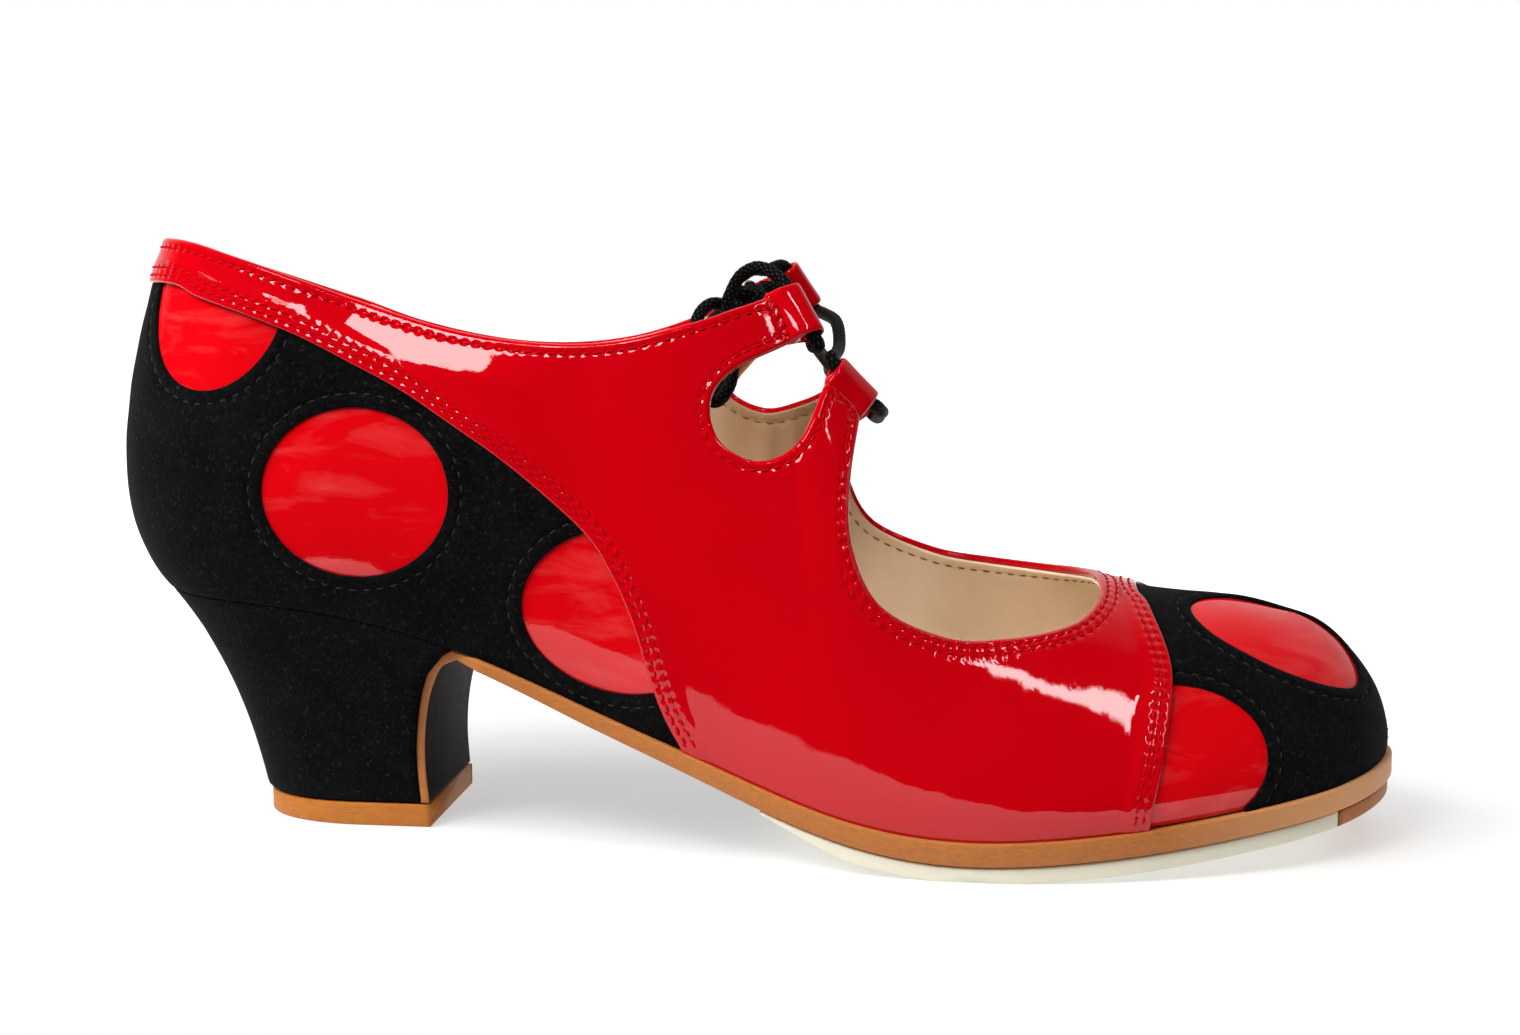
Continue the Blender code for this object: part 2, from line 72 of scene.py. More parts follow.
# Stations of the last from the heel's back to the toe's tip. The foot columns are the feather line,
# the top columns the collar or the ridge of the instep. Belly and crown are how far the wall swells
# out and up from its foot and from its top.
SWELL_COLUMNS = ("belly_out", "belly_up", "crown_out", "crown_up")
LAST_COLUMNS = (
    "foot_x", "foot_outer", "foot_inner", "foot_z",
    "top_x", "top_outer", "top_inner", "top_z",
    *SWELL_COLUMNS,
)
LAST_ROWS = (
    (8.4, 0.0, 0.0, 45.1, 10.8, 0.0, 0.0, 117.5, 12.5, 12.0, 12.5, -36.0),
    (12.4, -15.0, 15.0, 45.0, 16.0, -11.5, 11.5, 116.5, 10.0, 13.0, 12.0, -36.0),
    (27.0, -24.6, 24.4, 44.6, 30.5, -19.0, 19.0, 112.5, 6.5, 14.0, 10.0, -34.0),
    (49.0, -27.2, 26.4, 42.5, 50.5, -22.0, 22.0, 106.5, 5.0, 16.0, 8.0, -30.0),
    (72.0, -28.0, 25.8, 36.3, 72.0, -23.5, 23.5, 102.0, 4.5, 18.0, 7.0, -28.0),
    (95.0, -30.0, 25.8, 27.3, 94.0, -23.0, 24.0, 102.0, 4.0, 20.0, 7.0, -28.0),
    (118.0, -34.6, 28.8, 18.8, 112.0, -17.0, 19.0, 109.0, 4.0, 26.0, 12.0, -14.0),
    (140.0, -39.6, 34.0, 11.2, 130.0, 1.0, 1.0, 111.0, 4.5, 32.0, 22.0, 0.0),
    (160.5, -42.0, 38.5, 7.7, 151.5, 2.5, 2.5, 81.0, 5.0, 26.0, 22.0, 0.0),
    (180.0, -41.6, 40.2, 8.1, 173.5, 4.0, 4.0, 57.0, 4.5, 18.0, 22.0, 0.0),
    (198.5, -37.6, 38.6, 9.9, 194.0, 5.0, 5.0, 46.8, 4.0, 14.0, 21.0, 0.0),
    (216.5, -30.0, 33.0, 12.2, 210.0, 5.4, 5.4, 44.4, 3.0, 12.0, 17.0, -1.5),
    (233.0, -17.2, 23.4, 14.6, 220.0, 5.4, 5.4, 42.4, 2.2, 10.0, 13.0, -2.4),
    (241.3, 5.0, 5.0, 16.1, 223.0, 5.4, 5.4, 41.8, 1.6, 9.0, 11.0, -2.6),
)

# The opening's edge seen from the side along the cut. The cut is turned a little about the upright,
# and its inner end lies higher or lower than its outer end by a rise for each millimetre across.
# Each row: along, height, rise
CUT_TURN = 0.11
CUT_TOP = 135.0
COLLAR_EDGE = (
    (-20.0, 113.0, -0.14), (9.9, 109.8, -0.14), (25.2, 105.7, -0.13), (43.6, 99.8, -0.12),
    (64.5, 93.8, -0.10), (83.2, 91.3, -0.085), (97.9, 92.3, -0.07), (112.4, 96.6, -0.045), (117.8, 99.3, 0.0),
    (125.6, 102.5, 0.057),
)
KEYHOLE_EDGE = (
    (129.9, 95.2, 0.074), (119.0, 90.5, 0.06), (114.6, 84.7, 0.05), (116.6, 77.8, 0.05),
    (123.6, 74.6, 0.05), (130.9, 77.4, 0.02), (135.8, 84.1, -0.146),
)
VAMP_EDGE = (
    (142.0, 78.2, -0.151), (140.0, 68.8, 0.0), (140.4, 60.0, 0.05), (145.4, 50.8, 0.07), (157.6, 45.2, 0.08),
    (168.8, 44.1, 0.08), (178.4, 44.4, 0.08), (183.8, 45.7, 0.08), (187.2, 48.6, 0.08), (188.6, 56.0, 0.08),
)
# Where the red panel meets the suede of the heel and of the toe, seen from the side.
# Each row: along, height, rise
QUARTER_SEAM = (
    (-20.0, 102.4, -0.14), (11.5, 100.8, -0.14), (20.3, 97.9, -0.13), (30.8, 94.7, -0.12),
    (41.2, 91.0, -0.11), (50.7, 86.7, -0.10), (60.3, 82.3, -0.085), (69.6, 76.9, -0.065),
    (79.1, 71.3, -0.04), (88.5, 64.7, -0.015), (96.1, 58.3, 0.0), (100.6, 51.3, 0.0),
    (104.3, 43.2, 0.0), (107.4, 33.3, 0.0), (110.4, 25.7, 0.0), (114.6, 18.0, 0.0), (118.0, 8.0, 0.0),
)
TOE_SEAM = (
    (196.4, 0.0, 0.0), (197.7, 11.1, 0.0), (200.2, 24.8, 0.0), (200.9, 35.3, 0.0), (196.8, 43.8, 0.0),
    (194.3, 46.6, 0.0), (193.4, 53.0, 0.0),
)
# The toe cap's outline is closed round the shoe's front, clear of it
OUTLINE_FRONT = 270.0
OUTLINE_TOP = 70.0
STEPS_AN_EDGE_POINT = 5

# Round cut-outs in the suede, with red leather under them.
# Each row: centre, direction of the first half size, the two half sizes
DOT_ROWS = (
    ((23.0, -20.6, 101.0), (0.85, -0.5, 0.0), 14.7, 17.8),
    ((51.8, -29.8, 65.8), (1.0, 0.0, 0.0), 17.7, 15.7),
    ((102.4, -33.0, 45.4), (1.0, -0.17, 0.0), 19.5, 15.3),
    ((203.4, -33.5, 22.3), (0.9, 0.43, 0.0), 16.2, 14.0),
    ((23.0, 20.8, 96.0), (0.85, 0.5, 0.0), 14.7, 17.8),
    ((51.8, 28.8, 65.8), (1.0, 0.0, 0.0), 17.7, 15.7),
    ((102.4, 29.0, 45.4), (1.0, 0.17, 0.0), 19.5, 15.3),
    ((203.4, 38.4, 22.3), (0.9, -0.43, 0.0), 16.2, 14.0),
    ((221.1, -4.3, 39.6), (0.915, 0.0, -0.403), 17.5, 11.2),
)

# Thickness of the leather sole and of the tread under it, by station of the last
SOLE_COLUMNS = ("station", "leather", "tread")
SOLE_ROWS = (
    (4.0, 2.2, 0.0), (5.0, 3.2, 0.0), (6.4, 4.0, 0.5), (7.2, 4.2, 2.9), (8.0, 4.3, 3.0),
    (10.0, 4.3, 3.0), (13.0, 4.2, 3.0),
)
OUTSOLE_START = 4.1
PAINTED_WAIST_END = 6.5
HALF_SOLE_STATIONS = (6.45, 11.86)
TOE_PIECE_STATIONS = (11.88, 13.0)

# The strip of the sole that turns down the breast of the heel. Each row: x, z, leather, half width
BREAST_ROWS = (
    (68.6, 36.0, 2.0, 25.6), (65.0, 33.8, 1.8, 23.6), (62.6, 29.6, 1.7, 21.6), (61.0, 24.4, 1.6, 20.0),
    (60.0, 18.0, 1.6, 18.8), (59.8, 11.5, 1.6, 18.0), (60.3, HEEL_LIFT + GAP, 1.6, 17.5),
)

# The heel: back corner at its foot, how far the lift lies inside and in front of it, where its seat ends
# and how finely that is sampled, the sharing of its curve between straight and flared, and its round back
HEEL_FOOT_BACK = 26.3
LIFT_INSET = 0.7
LIFT_REACH = 0.3
SEAT_STATION = 5
SEAT_SAMPLES = 101
HEEL_STRAIGHT_SHARE = 0.5
HEEL_FLARE_POWER = 2.5
HEEL_ROUND_SHARE = 0.62
HEEL_ROUND_POWER = 2.2

# Each lace loop is the folded end of a tab. Each row: node, upper back end, lower front end of its axis
LOOP_ROWS = (
    ("lace_loop_outer_upper", (130.0, -12.1, 102.3), (134.9, -15.8, 94.7)),
    ("lace_loop_outer_lower", (139.2, -16.1, 88.8), (145.0, -14.3, 82.5)),
    ("lace_loop_inner_upper", (126.6, 13.0, 104.5), (130.9, 15.1, 97.6)),
    ("lace_loop_inner_lower", (135.5, 22.7, 82.5), (141.4, 23.7, 76.2)),
)

# The lace from one side of the knot through the four loops to the other side of the knot
LACE_ROUTE = (
    (119.1, 1.2, 103.8), (121.0, 4.5, 105.0), (123.2, 8.3, 104.7), (125.3, 11.8, 105.3),
    (126.6, 13.0, 104.5), (128.7, 14.0, 101.1), (130.9, 15.1, 97.6), (132.3, 14.4, 96.5),
    (133.9, 11.4, 96.2), (136.5, 6.0, 95.5), (137.8, 1.0, 93.9), (138.5, -5.0, 91.4),
    (138.4, -11.5, 90.5), (138.2, -15.1, 90.5), (139.2, -16.1, 88.8), (142.1, -15.2, 85.7),
    (145.0, -14.3, 82.5), (146.5, -12.3, 81.1), (146.8, -8.6, 79.8), (146.2, 0.0, 78.8),
    (145.0, 10.0, 77.6), (143.8, 18.5, 75.6), (142.8, 22.6, 75.2), (141.4, 23.7, 76.2),
    (138.4, 23.2, 79.4), (135.5, 22.7, 82.5), (134.3, 21.6, 83.7), (134.2, 18.4, 84.7),
    (134.6, 13.0, 86.4), (133.9, 2.0, 90.1), (133.8, -8.0, 93.0), (134.5, -12.6, 92.2),
    (135.9, -15.7, 92.7), (134.9, -15.8, 94.7), (132.4, -13.9, 98.5), (130.0, -12.1, 102.3),
    (128.7, -11.1, 104.2), (127.2, -10.3, 105.1), (125.5, -9.0, 106.0), (123.0, -7.5, 106.2),
    (120.1, -6.2, 104.5), (118.2, -5.8, 101.2), (117.6, -5.5, 99.2), (118.2, -4.4, 97.6),
)

# The bow: two loops that hang into the shoe and two ends with metal tips, all from one knot
KNOT_PLACE = (120.5, 0.0, 99.5)
BOW_ROWS = (
    ("lace_bow_outer", (
        (116.8, -1.9, 98.9), (114.0, -4.6, 99.0), (112.2, -7.8, 96.4), (112.0, -11.4, 90.8),
        (113.6, -13.4, 84.8), (116.4, -14.0, 81.8), (119.0, -12.6, 84.8), (119.6, -8.6, 91.2),
        (120.3, -2.9, 96.7),
    )),
    ("lace_bow_inner", (
        (118.2, 3.0, 98.3), (113.2, 7.8, 95.4), (109.6, 12.4, 90.6), (109.8, 16.0, 85.0), (112.6, 17.2, 82.8),
        (116.2, 15.0, 86.2), (119.4, 9.8, 91.4), (121.0, 3.2, 96.6),
    )),
)
END_ROWS = (
    ("lace_end_outer", "lace_tip_outer", (
        (124.4, -2.4, 98.0), (126.2, -3.6, 95.6), (125.4, -5.6, 93.4), (122.6, -6.0, 91.8),
        (119.0, -4.6, 90.8), (115.6, -2.6, 89.4), (113.5, -1.2, 86.8), (113.6, -2.8, 83.6),
        (115.6, -4.6, 83.0), (118.3, -6.0, 85.8),
    )),
    ("lace_end_inner", "lace_tip_inner", (
        (122.6, 3.4, 101.8), (126.0, 5.4, 101.4), (127.4, 9.2, 98.0), (125.0, 12.6, 94.8),
        (120.0, 14.1, 92.2), (116.6, 12.4, 91.5), (115.8, 9.9, 92.9), (116.9, 8.6, 95.1),
    )),
)
STEPS_A_ROUTE_POINT = 16
RING_STEP = 0.3
CORD_SIDES = 24

# The photograph's camera: turn and rise in degrees, distance and aim in millimetres, picture in pixels
CAMERA_TURN = 7.542
CAMERA_RISE = 8.664
CAMERA_DISTANCE = 570.9
CAMERA_AIM = (122.99, 0.0, 58.21)
PICTURE_WIDTH = 1520
FOCAL_PIXELS = 3000
SENSOR_WIDTH = 36.0

# How finely the last and its edges are sampled, and what counts as on a line, as far off and as nothing
SKIN_STEPS_A_STATION = 24
SKIN_ROWS = 96
ON_LINE = 0.02
SAMPLES_AN_EDGE = 4
RUN_STEP = 0.25
FAR = 99.0
TINY = 1e-12
# Points of the skin that agree to so many digits are one. The shift keeps them off the rounding's halves.
WELD_DIGITS = 3
WELD_SHIFT = 0.00037

# Heights of the layers over the last's skin
RED_HEIGHT = 0.55
RED_OVER_SUEDE = 0.4
SEAM_RISE_REACH = 6.0
SUEDE_HEIGHT = 0.3
DOT_HEIGHT = -0.35
LINING_HEIGHT = -1.8
UNDERLAP = 3.0


def linear(hex_colour):
    """An sRGB colour such as #C80010 as linear red, green, blue and alpha."""
    channels = [int(hex_colour[i:i + 2], 16) / 255 for i in (1, 3, 5)]
    return tuple(c / 12.92 if c <= 0.04045 else ((c + 0.055) / 1.055) ** 2.4 for c in channels) + (1.0,)


# Sizes and colours that a user would change

def colour_property(name, description, hex_colour):
    return bpy.props.FloatVectorProperty(
        name=name, description=description, subtype="COLOR", size=4, min=0.0, max=1.0,
        default=linear(hex_colour),
    )


def length_property(name, description, millimetres):
    return bpy.props.FloatProperty(
        name=name, description=description, default=millimetres * MM, min=0.0, precision=5, unit="LENGTH",
    )


class ShoeColours(bpy.types.PropertyGroup):
    """Colours of the shoe's materials."""

    patent: colour_property("Patent leather", "Red of the panel and the lace loops", "#C0000D")
    dots: colour_property("Dots", "Red of the leather under the cut-outs", "#D2040F")
    suede: colour_property("Suede", "Black of the heel, the back and the toe cap", "#0C0C0D")
    lining: colour_property("Lining", "Beige of the lining and the insole", "#F3DDC0")
    sole_edge: colour_property("Sole edge", "Tan of the trimmed sole leather", "#B16A2D")
    breast: colour_property("Breast", "Painted face of the heel's breast and of the waist", "#211F1E")
    tread: colour_property("Half sole", "Cream of the rubber half sole", "#E6E2CC")
    lift: colour_property("Heel lift", "Honey brown of the lift under the heel", "#B56A1E")
    cord: colour_property("Lace", "Black of the braided lace", "#0C0C0D")
    tip: colour_property("Lace tip", "Copper of the rolled metal tips", "#C58A6A")
    red_thread: colour_property("Red thread", "Thread in the patent leather", "#B40610")
    suede_thread: colour_property("Suede thread", "Thread round the cut-outs", "#2E2E2D")
    lining_thread: colour_property("Lining thread", "Thread that shows on the lining", "#8E6438")


class ShoeSizes(bpy.types.PropertyGroup):
    """Sizes of the sewn and folded details."""

    edge_radius: length_property("Folded edge", "Radius of the folded edge of the opening", 0.8)
    seam_radius: length_property("Seam edge", "Radius of the red panel's edge on the suede", 0.45)
    hole_radius: length_property("Cut-out edge", "Radius of the suede's edge at a cut-out", 0.4)
    red_pitch: length_property("Red stitch", "Distance from stitch to stitch in the patent leather", 2.2)
    suede_pitch: length_property("Suede stitch", "Distance from stitch to stitch round the cut-outs", 2.65)
    lace_diameter: length_property("Lace", "Diameter of the round lace", 2.4)


def colours():
    return bpy.context.scene.shoe_colours


def size(name):
    """A size of the panel in millimetres."""
    return getattr(bpy.context.scene.shoe_sizes, name) / MM


# Curves and the form of the last

def spline_seconds(values, flat_ends):
    """Second differences of a smooth curve through evenly numbered values."""
    count = len(values)
    matrix = np.zeros((count, count))
    right = np.zeros(count)
    for i in range(1, count - 1):
        matrix[i, i - 1:i + 2] = (1, 4, 1)
        right[i] = 6 * (values[i + 1] - 2 * values[i] + values[i - 1])
    if flat_ends:
        matrix[0, :2] = (2, 1)
        right[0] = 6 * (values[1] - values[0])
        matrix[-1, -2:] = (1, 2)
        right[-1] = 6 * (values[-2] - values[-1])
    else:
        matrix[0, 0] = matrix[-1, -1] = 1
    return np.linalg.solve(matrix, right)


def unit(vectors):
    return vectors / np.maximum(np.linalg.norm(vectors, axis=-1, keepdims=True), TINY)


class Last:
    """The form that the upper is closed over, by side (-1 outer, 1 inner), station and share of the wall."""

    def __init__(self):
        columns = dict(zip(LAST_COLUMNS, np.array(LAST_ROWS).T))
        self.end = len(LAST_ROWS) - 1
        self.curves = {}
        for side, word in ((-1, "outer"), (1, "inner")):
            for name, values in columns.items():
                across = name.endswith(word)
                if name.endswith(("outer", "inner")) and not across:
                    continue
                key = name.replace(word, "y")
                self.curves[side, key] = (values, spline_seconds(values, flat_ends=not across))

    def value(self, side, name, station):
        values, seconds = self.curves[side, name]
        i = np.clip(np.asarray(station).astype(int), 0, self.end - 1)
        after = station - i
        before = 1 - after
        sweep = (before ** 3 - before) * seconds[i] + (after ** 3 - after) * seconds[i + 1]
        return before * values[i] + after * values[i + 1] + sweep / 6

    def foot(self, side, station):
        return np.stack([self.value(side, "foot_" + axis, station) for axis in "xyz"], axis=-1)

    def top(self, side, station):
        point = np.stack([self.value(side, "top_" + axis, station) for axis in "xyz"], axis=-1)
        middle = (point[..., 1] + self.value(-side, "top_y", station)) / 2
        point[..., 1] = np.where(np.asarray(station) >= RIDGE_STATION, middle, point[..., 1])
        return point

    def outward(self, side, station):
        """The level direction that points out of the shoe, square to its feather line."""
        step = 0.001
        ahead = self.foot(side, np.minimum(station + step, self.end))
        along = ahead - self.foot(side, np.maximum(station - step, 0))
        return unit(np.stack([-side * along[..., 1], side * along[..., 0], 0 * along[..., 0]], axis=-1))

    def wall(self, side, station, share):
        """Points of the wall: share 0 is the feather line, 1 the top."""
        out = self.outward(side, station)
        lift = {name: self.value(side, name, station)[..., None] for name in SWELL_COLUMNS}
        up = np.array([0.0, 0.0, 1.0])
        foot = self.foot(side, station)
        top = self.top(side, station)
        belly = foot + out * lift["belly_out"] + up * lift["belly_up"]
        crown = top + out * lift["crown_out"] + up * lift["crown_up"]
        share = share[..., None]
        rest = 1 - share
        lower = rest ** 3 * foot + 3 * rest ** 2 * share * belly
        return lower + 3 * rest * share ** 2 * crown + share ** 3 * top


LAST = Last()


def skin_points(turn, share):
    """Points of the last's skin. Turn is the station, below zero on the outer side."""
    points = np.empty((len(turn), 3))
    for side, chosen in ((-1, turn < 0), (1, turn >= 0)):
        points[chosen] = LAST.wall(side, np.abs(turn[chosen]), share[chosen])
    return points


def skin_normals(turn, share):
    step = 0.002
    ahead = skin_points(np.minimum(turn + step, LAST.end), share)
    behind = skin_points(np.maximum(turn - step, -LAST.end), share)
    above = skin_points(turn, np.minimum(share + step, 1))
    below = skin_points(turn, np.maximum(share - step, 0))
    return unit(np.cross(above - below, ahead - behind))


def smooth_curve(points, steps):
    """Points along a rounded curve through the given ones, with even steps between each two."""
    points = np.array(points, float)
    ends = np.vstack([2 * points[0] - points[1], points, 2 * points[-1] - points[-2]])
    found = []
    for a, b, c, d in zip(ends, ends[1:], ends[2:], ends[3:]):
        for u in np.arange(steps) / steps:
            cubic = (2 * b, c - a, 2 * a - 5 * b + 4 * c - d, 3 * b - a - 3 * c + d)
            found.append(sum(term * u ** power for power, term in enumerate(cubic)) / 2)
    found.append(points[-1])
    return np.array(found)


def run_lengths(places):
    """How far along a line each of its points lies."""
    return np.concatenate([[0], np.cumsum(np.linalg.norm(np.diff(places, axis=0), axis=1))])


def read_off(at, run, values):
    """Values of a line's points, read off at distances along it."""
    return np.stack([np.interp(at, run, values[:, axis]) for axis in range(3)], axis=1)


def even_curve(points, step):
    """A smooth curve through the points, read off at even distances near the step."""
    fine = smooth_curve(points, STEPS_A_ROUTE_POINT)
    run = run_lengths(fine)
    return read_off(np.linspace(0, run[-1], round(run[-1] / step) + 1), run, fine)


def bell(distance, width):
    """A soft bump: 1 at no distance, fading out over about twice the width."""
    return np.exp(-(distance / width) ** 2)


def ease(low, high, value):
    """A soft step from 0 at low to 1 at high."""
    share = np.clip((value - low) / (high - low), 0, 1)
    return share * share * (3 - 2 * share)


# How many waves make up an unevenness, and how far their lengths spread
WAVES = 9
WAVE_SPREAD = (0.7, 1.6)


def waviness(place, height, wavelength, seed):
    """A soft unevenness of about a height, the same on every run."""
    chance = np.random.default_rng(seed)
    total = np.zeros(len(place))
    for _ in range(WAVES):
        direction = unit(chance.normal(size=3))
        length = wavelength * chance.uniform(*WAVE_SPREAD)
        total += np.sin(place @ direction * 2 * math.pi / length + chance.uniform(0, 2 * math.pi))
    return height * total / math.sqrt(WAVES)


# Leather sheets over the last

class Sheet:
    """A piece of leather on the last: arrays of values by point, and its triangles."""

    def __init__(self, points, faces):
        self.points = dict(points)
        self.faces = faces

    def copy(self):
        return Sheet(self.points, self.faces)

    def __getitem__(self, name):
        return self.points[name]

    def __setitem__(self, name, values):
        self.points[name] = values

    def split(self, name, level=0.0):
        """Cuts the triangles along a level of a value, so that the level runs along edges."""
        values = self[name] - level
        values[np.abs(values) < ON_LINE] = 0.0
        self[name] = values + level
        sign = np.sign(values)
        start = self.faces
        end = np.roll(start, -1, axis=1)
        crossing = sign[start] * sign[end] < 0
        if not crossing.any():
            return self
        pairs = np.sort(np.stack([start[crossing], end[crossing]], axis=1), axis=1)
        pairs, which = np.unique(pairs, axis=0, return_inverse=True)
        new = np.full(start.shape, -1)
        new[crossing] = len(values) + which.ravel()
        a, b = pairs.T
        weight = values[a] / (values[a] - values[b])
        for key, old in self.points.items():
            share = weight if old.ndim == 1 else weight[:, None]
            made = old[a] * (1 - share) + old[b] * share
            if key == name:
                made[:] = level
            elif key == "normal":
                made = unit(made)
            self.points[key] = np.concatenate([old, made])
        count = crossing.sum(axis=1)
        kept = [start[count == 0]]
        one = count == 1
        if one.any():
            rows = np.flatnonzero(one)
            k = crossing[rows].argmax(axis=1)
            b, c, d = (start[rows, (k + i) % 3] for i in range(3))
            p = new[rows, k]
            kept += [np.stack([d, b, p], axis=1), np.stack([d, p, c], axis=1)]
        two = count == 2
        if two.any():
            rows = np.flatnonzero(two)
            k = crossing[rows].argmin(axis=1)
            b, c, d = (start[rows, (k + i) % 3] for i in range(3))
            q = new[rows, (k + 1) % 3]
            p = new[rows, (k + 2) % 3]
            kept += [np.stack([d, p, q], axis=1), np.stack([p, b, c], axis=1), np.stack([p, c, q], axis=1)]
        self.faces = np.vstack(kept)
        return self

    def cut(self, name, level=0.0):
        """Keeps only what lies above a level of a value."""
        self.split(name, level)
        self.faces = self.faces[self[name][self.faces].mean(axis=1) > level]
        used, faces = np.unique(self.faces, return_inverse=True)
        self.faces = faces.reshape(-1, 3)
        self.points = {key: values[used] for key, values in self.points.items()}
        return self

    def border(self):
        """The directed edges that only one triangle has."""
        start = self.faces.ravel()
        end = np.roll(self.faces, -1, axis=1).ravel()
        count = len(self["place"])
        forward = start * count + end
        lone = ~np.isin(forward, end * count + start)
        return np.stack([start[lone], end[lone]], axis=1)

    def raised(self):
        """The points at their height over the last's skin."""
        return self["place"] + self["normal"] * self["height"][:, None]

    def split_trough(self, name, row):
        """Cuts the triangles along a row of stitches and along both sides of its trough."""
        for level in (row - TROUGH_WIDTH, row, row + TROUGH_WIDTH):
            self.split(name, level)

    def distance_to(self, edges):
        """How far each point lies from the given edges."""
        if not len(edges):
            return np.full(len(self["place"]), FAR)
        a, b = (self["place"][edges[:, i]] for i in (0, 1))
        shares = np.arange(SAMPLES_AN_EDGE) / SAMPLES_AN_EDGE
        tree = search_tree(np.vstack([a + (b - a) * share for share in shares]))
        return np.array([tree.find(place)[2] for place in self["place"]])

    def along(self, edges):
        """How far along the given edges the nearest place to each point lies."""
        distances = []
        samples = []
        for chain in chains(edges):
            places = self["place"][chain]
            run = run_lengths(places)
            at = np.arange(0, run[-1], RUN_STEP)
            distances.append(at)
            samples.append(read_off(at, run, places))
        distance = np.concatenate(distances)
        tree = search_tree(np.vstack(samples))
        return np.array([distance[tree.find(place)[1]] for place in self["place"]])

    def edges_where(self, name, level=0.0):
        """The border edges that lie on a level of a value."""
        edges = self.border()
        return edges[(np.abs(self[name][edges] - level) < ON_LINE / 2).all(axis=1)]

    def lines(self, name, level, where=None):
        """A level of a value as ordered lines. Each line is its places and its normals."""
        values = self[name] - level
        above = values >= 0
        start = self.faces
        end = np.roll(start, -1, axis=1)
        crossing = above[start] != above[end]
        pairs = np.sort(np.stack([start[crossing], end[crossing]], axis=1), axis=1)
        pairs, which = np.unique(pairs, axis=0, return_inverse=True)
        links = which.reshape(-1, 2)
        a, b = pairs.T
        weight = (values[a] / (values[a] - values[b]))[:, None]
        raised = self.raised()
        places = raised[a] * (1 - weight) + raised[b] * weight
        normals = unit(self["normal"][a] * (1 - weight) + self["normal"][b] * weight)
        wanted = np.ones(len(places), bool) if where is None else where[a] & where[b]
        found = []
        for chain in chains(links):
            run = []
            for i in [*chain, None]:
                if i is not None and wanted[i]:
                    run.append(i)
                elif run:
                    found.append((places[run], normals[run]))
                    run = []
        return found


def search_tree(samples):
    """A tree that finds the nearest of the samples."""
    tree = KDTree(len(samples))
    for i, sample in enumerate(samples):
        tree.insert(sample, i)
    tree.balance()
    return tree


def chains(links):
    """Orders linked pairs of numbers into runs, open ones first."""
    beside = {}
    for a, b in links.tolist():
        beside.setdefault(a, []).append(b)
        beside.setdefault(b, []).append(a)
    seen = set()
    found = []
    for first in sorted(beside, key=lambda i: len(beside[i])):
        if first in seen:
            continue
        chain = [first]
        seen.add(first)
        while True:
            following = [i for i in beside[chain[-1]] if i not in seen]
            if not following:
                break
            chain.append(following[0])
            seen.add(following[0])
        if len(beside[first]) > 1 and first in beside[chain[-1]]:
            chain.append(first)
        found.append(chain)
    return found


def side_distance(place, outline, turn=0.0):
    """How far each point lies inside a closed outline seen from the side; outside is below zero."""
    along = place[:, 0] + place[:, 1] * turn
    across = place[:, 1]
    height = place[:, 2]
    nearest = np.full(len(place), np.inf)
    inside = np.zeros(len(place), bool)
    for (a0, h0, rise0), (a1, h1, rise1) in zip(outline, np.roll(outline, -1, axis=0)):
        low = h0 + across * rise0
        rise = h1 + across * rise1 - low
        run = a1 - a0
        part = np.clip(((along - a0) * run + (height - low) * rise) / (run * run + rise * rise + TINY), 0, 1)
        nearest = np.minimum(nearest, np.hypot(along - a0 - part * run, height - low - part * rise))
        crosses = (low > height) != (low + rise > height)
        at = a0 + (height - low) / np.where(crosses, rise, 1.0) * run
        inside ^= crosses & (along < at)
    return np.where(inside, nearest, -nearest)


def closed_outline(edges, corners):
    curves = [smooth_curve(edge, STEPS_AN_EDGE_POINT) for edge in edges]
    return np.vstack([*curves, np.array([(*corner, 0.0) for corner in corners])])


def dot_distance(place, row):
    """About how far each point lies outside a round cut-out; inside is below zero."""
    centre, direction, long_half, short_half = row
    offset = place - np.array(centre)
    along = offset @ unit(np.array(direction))
    across = np.sqrt(np.maximum((offset * offset).sum(axis=1) - along * along, 0))
    return (np.hypot(along / long_half, across / short_half) - 1) * min(long_half, short_half)


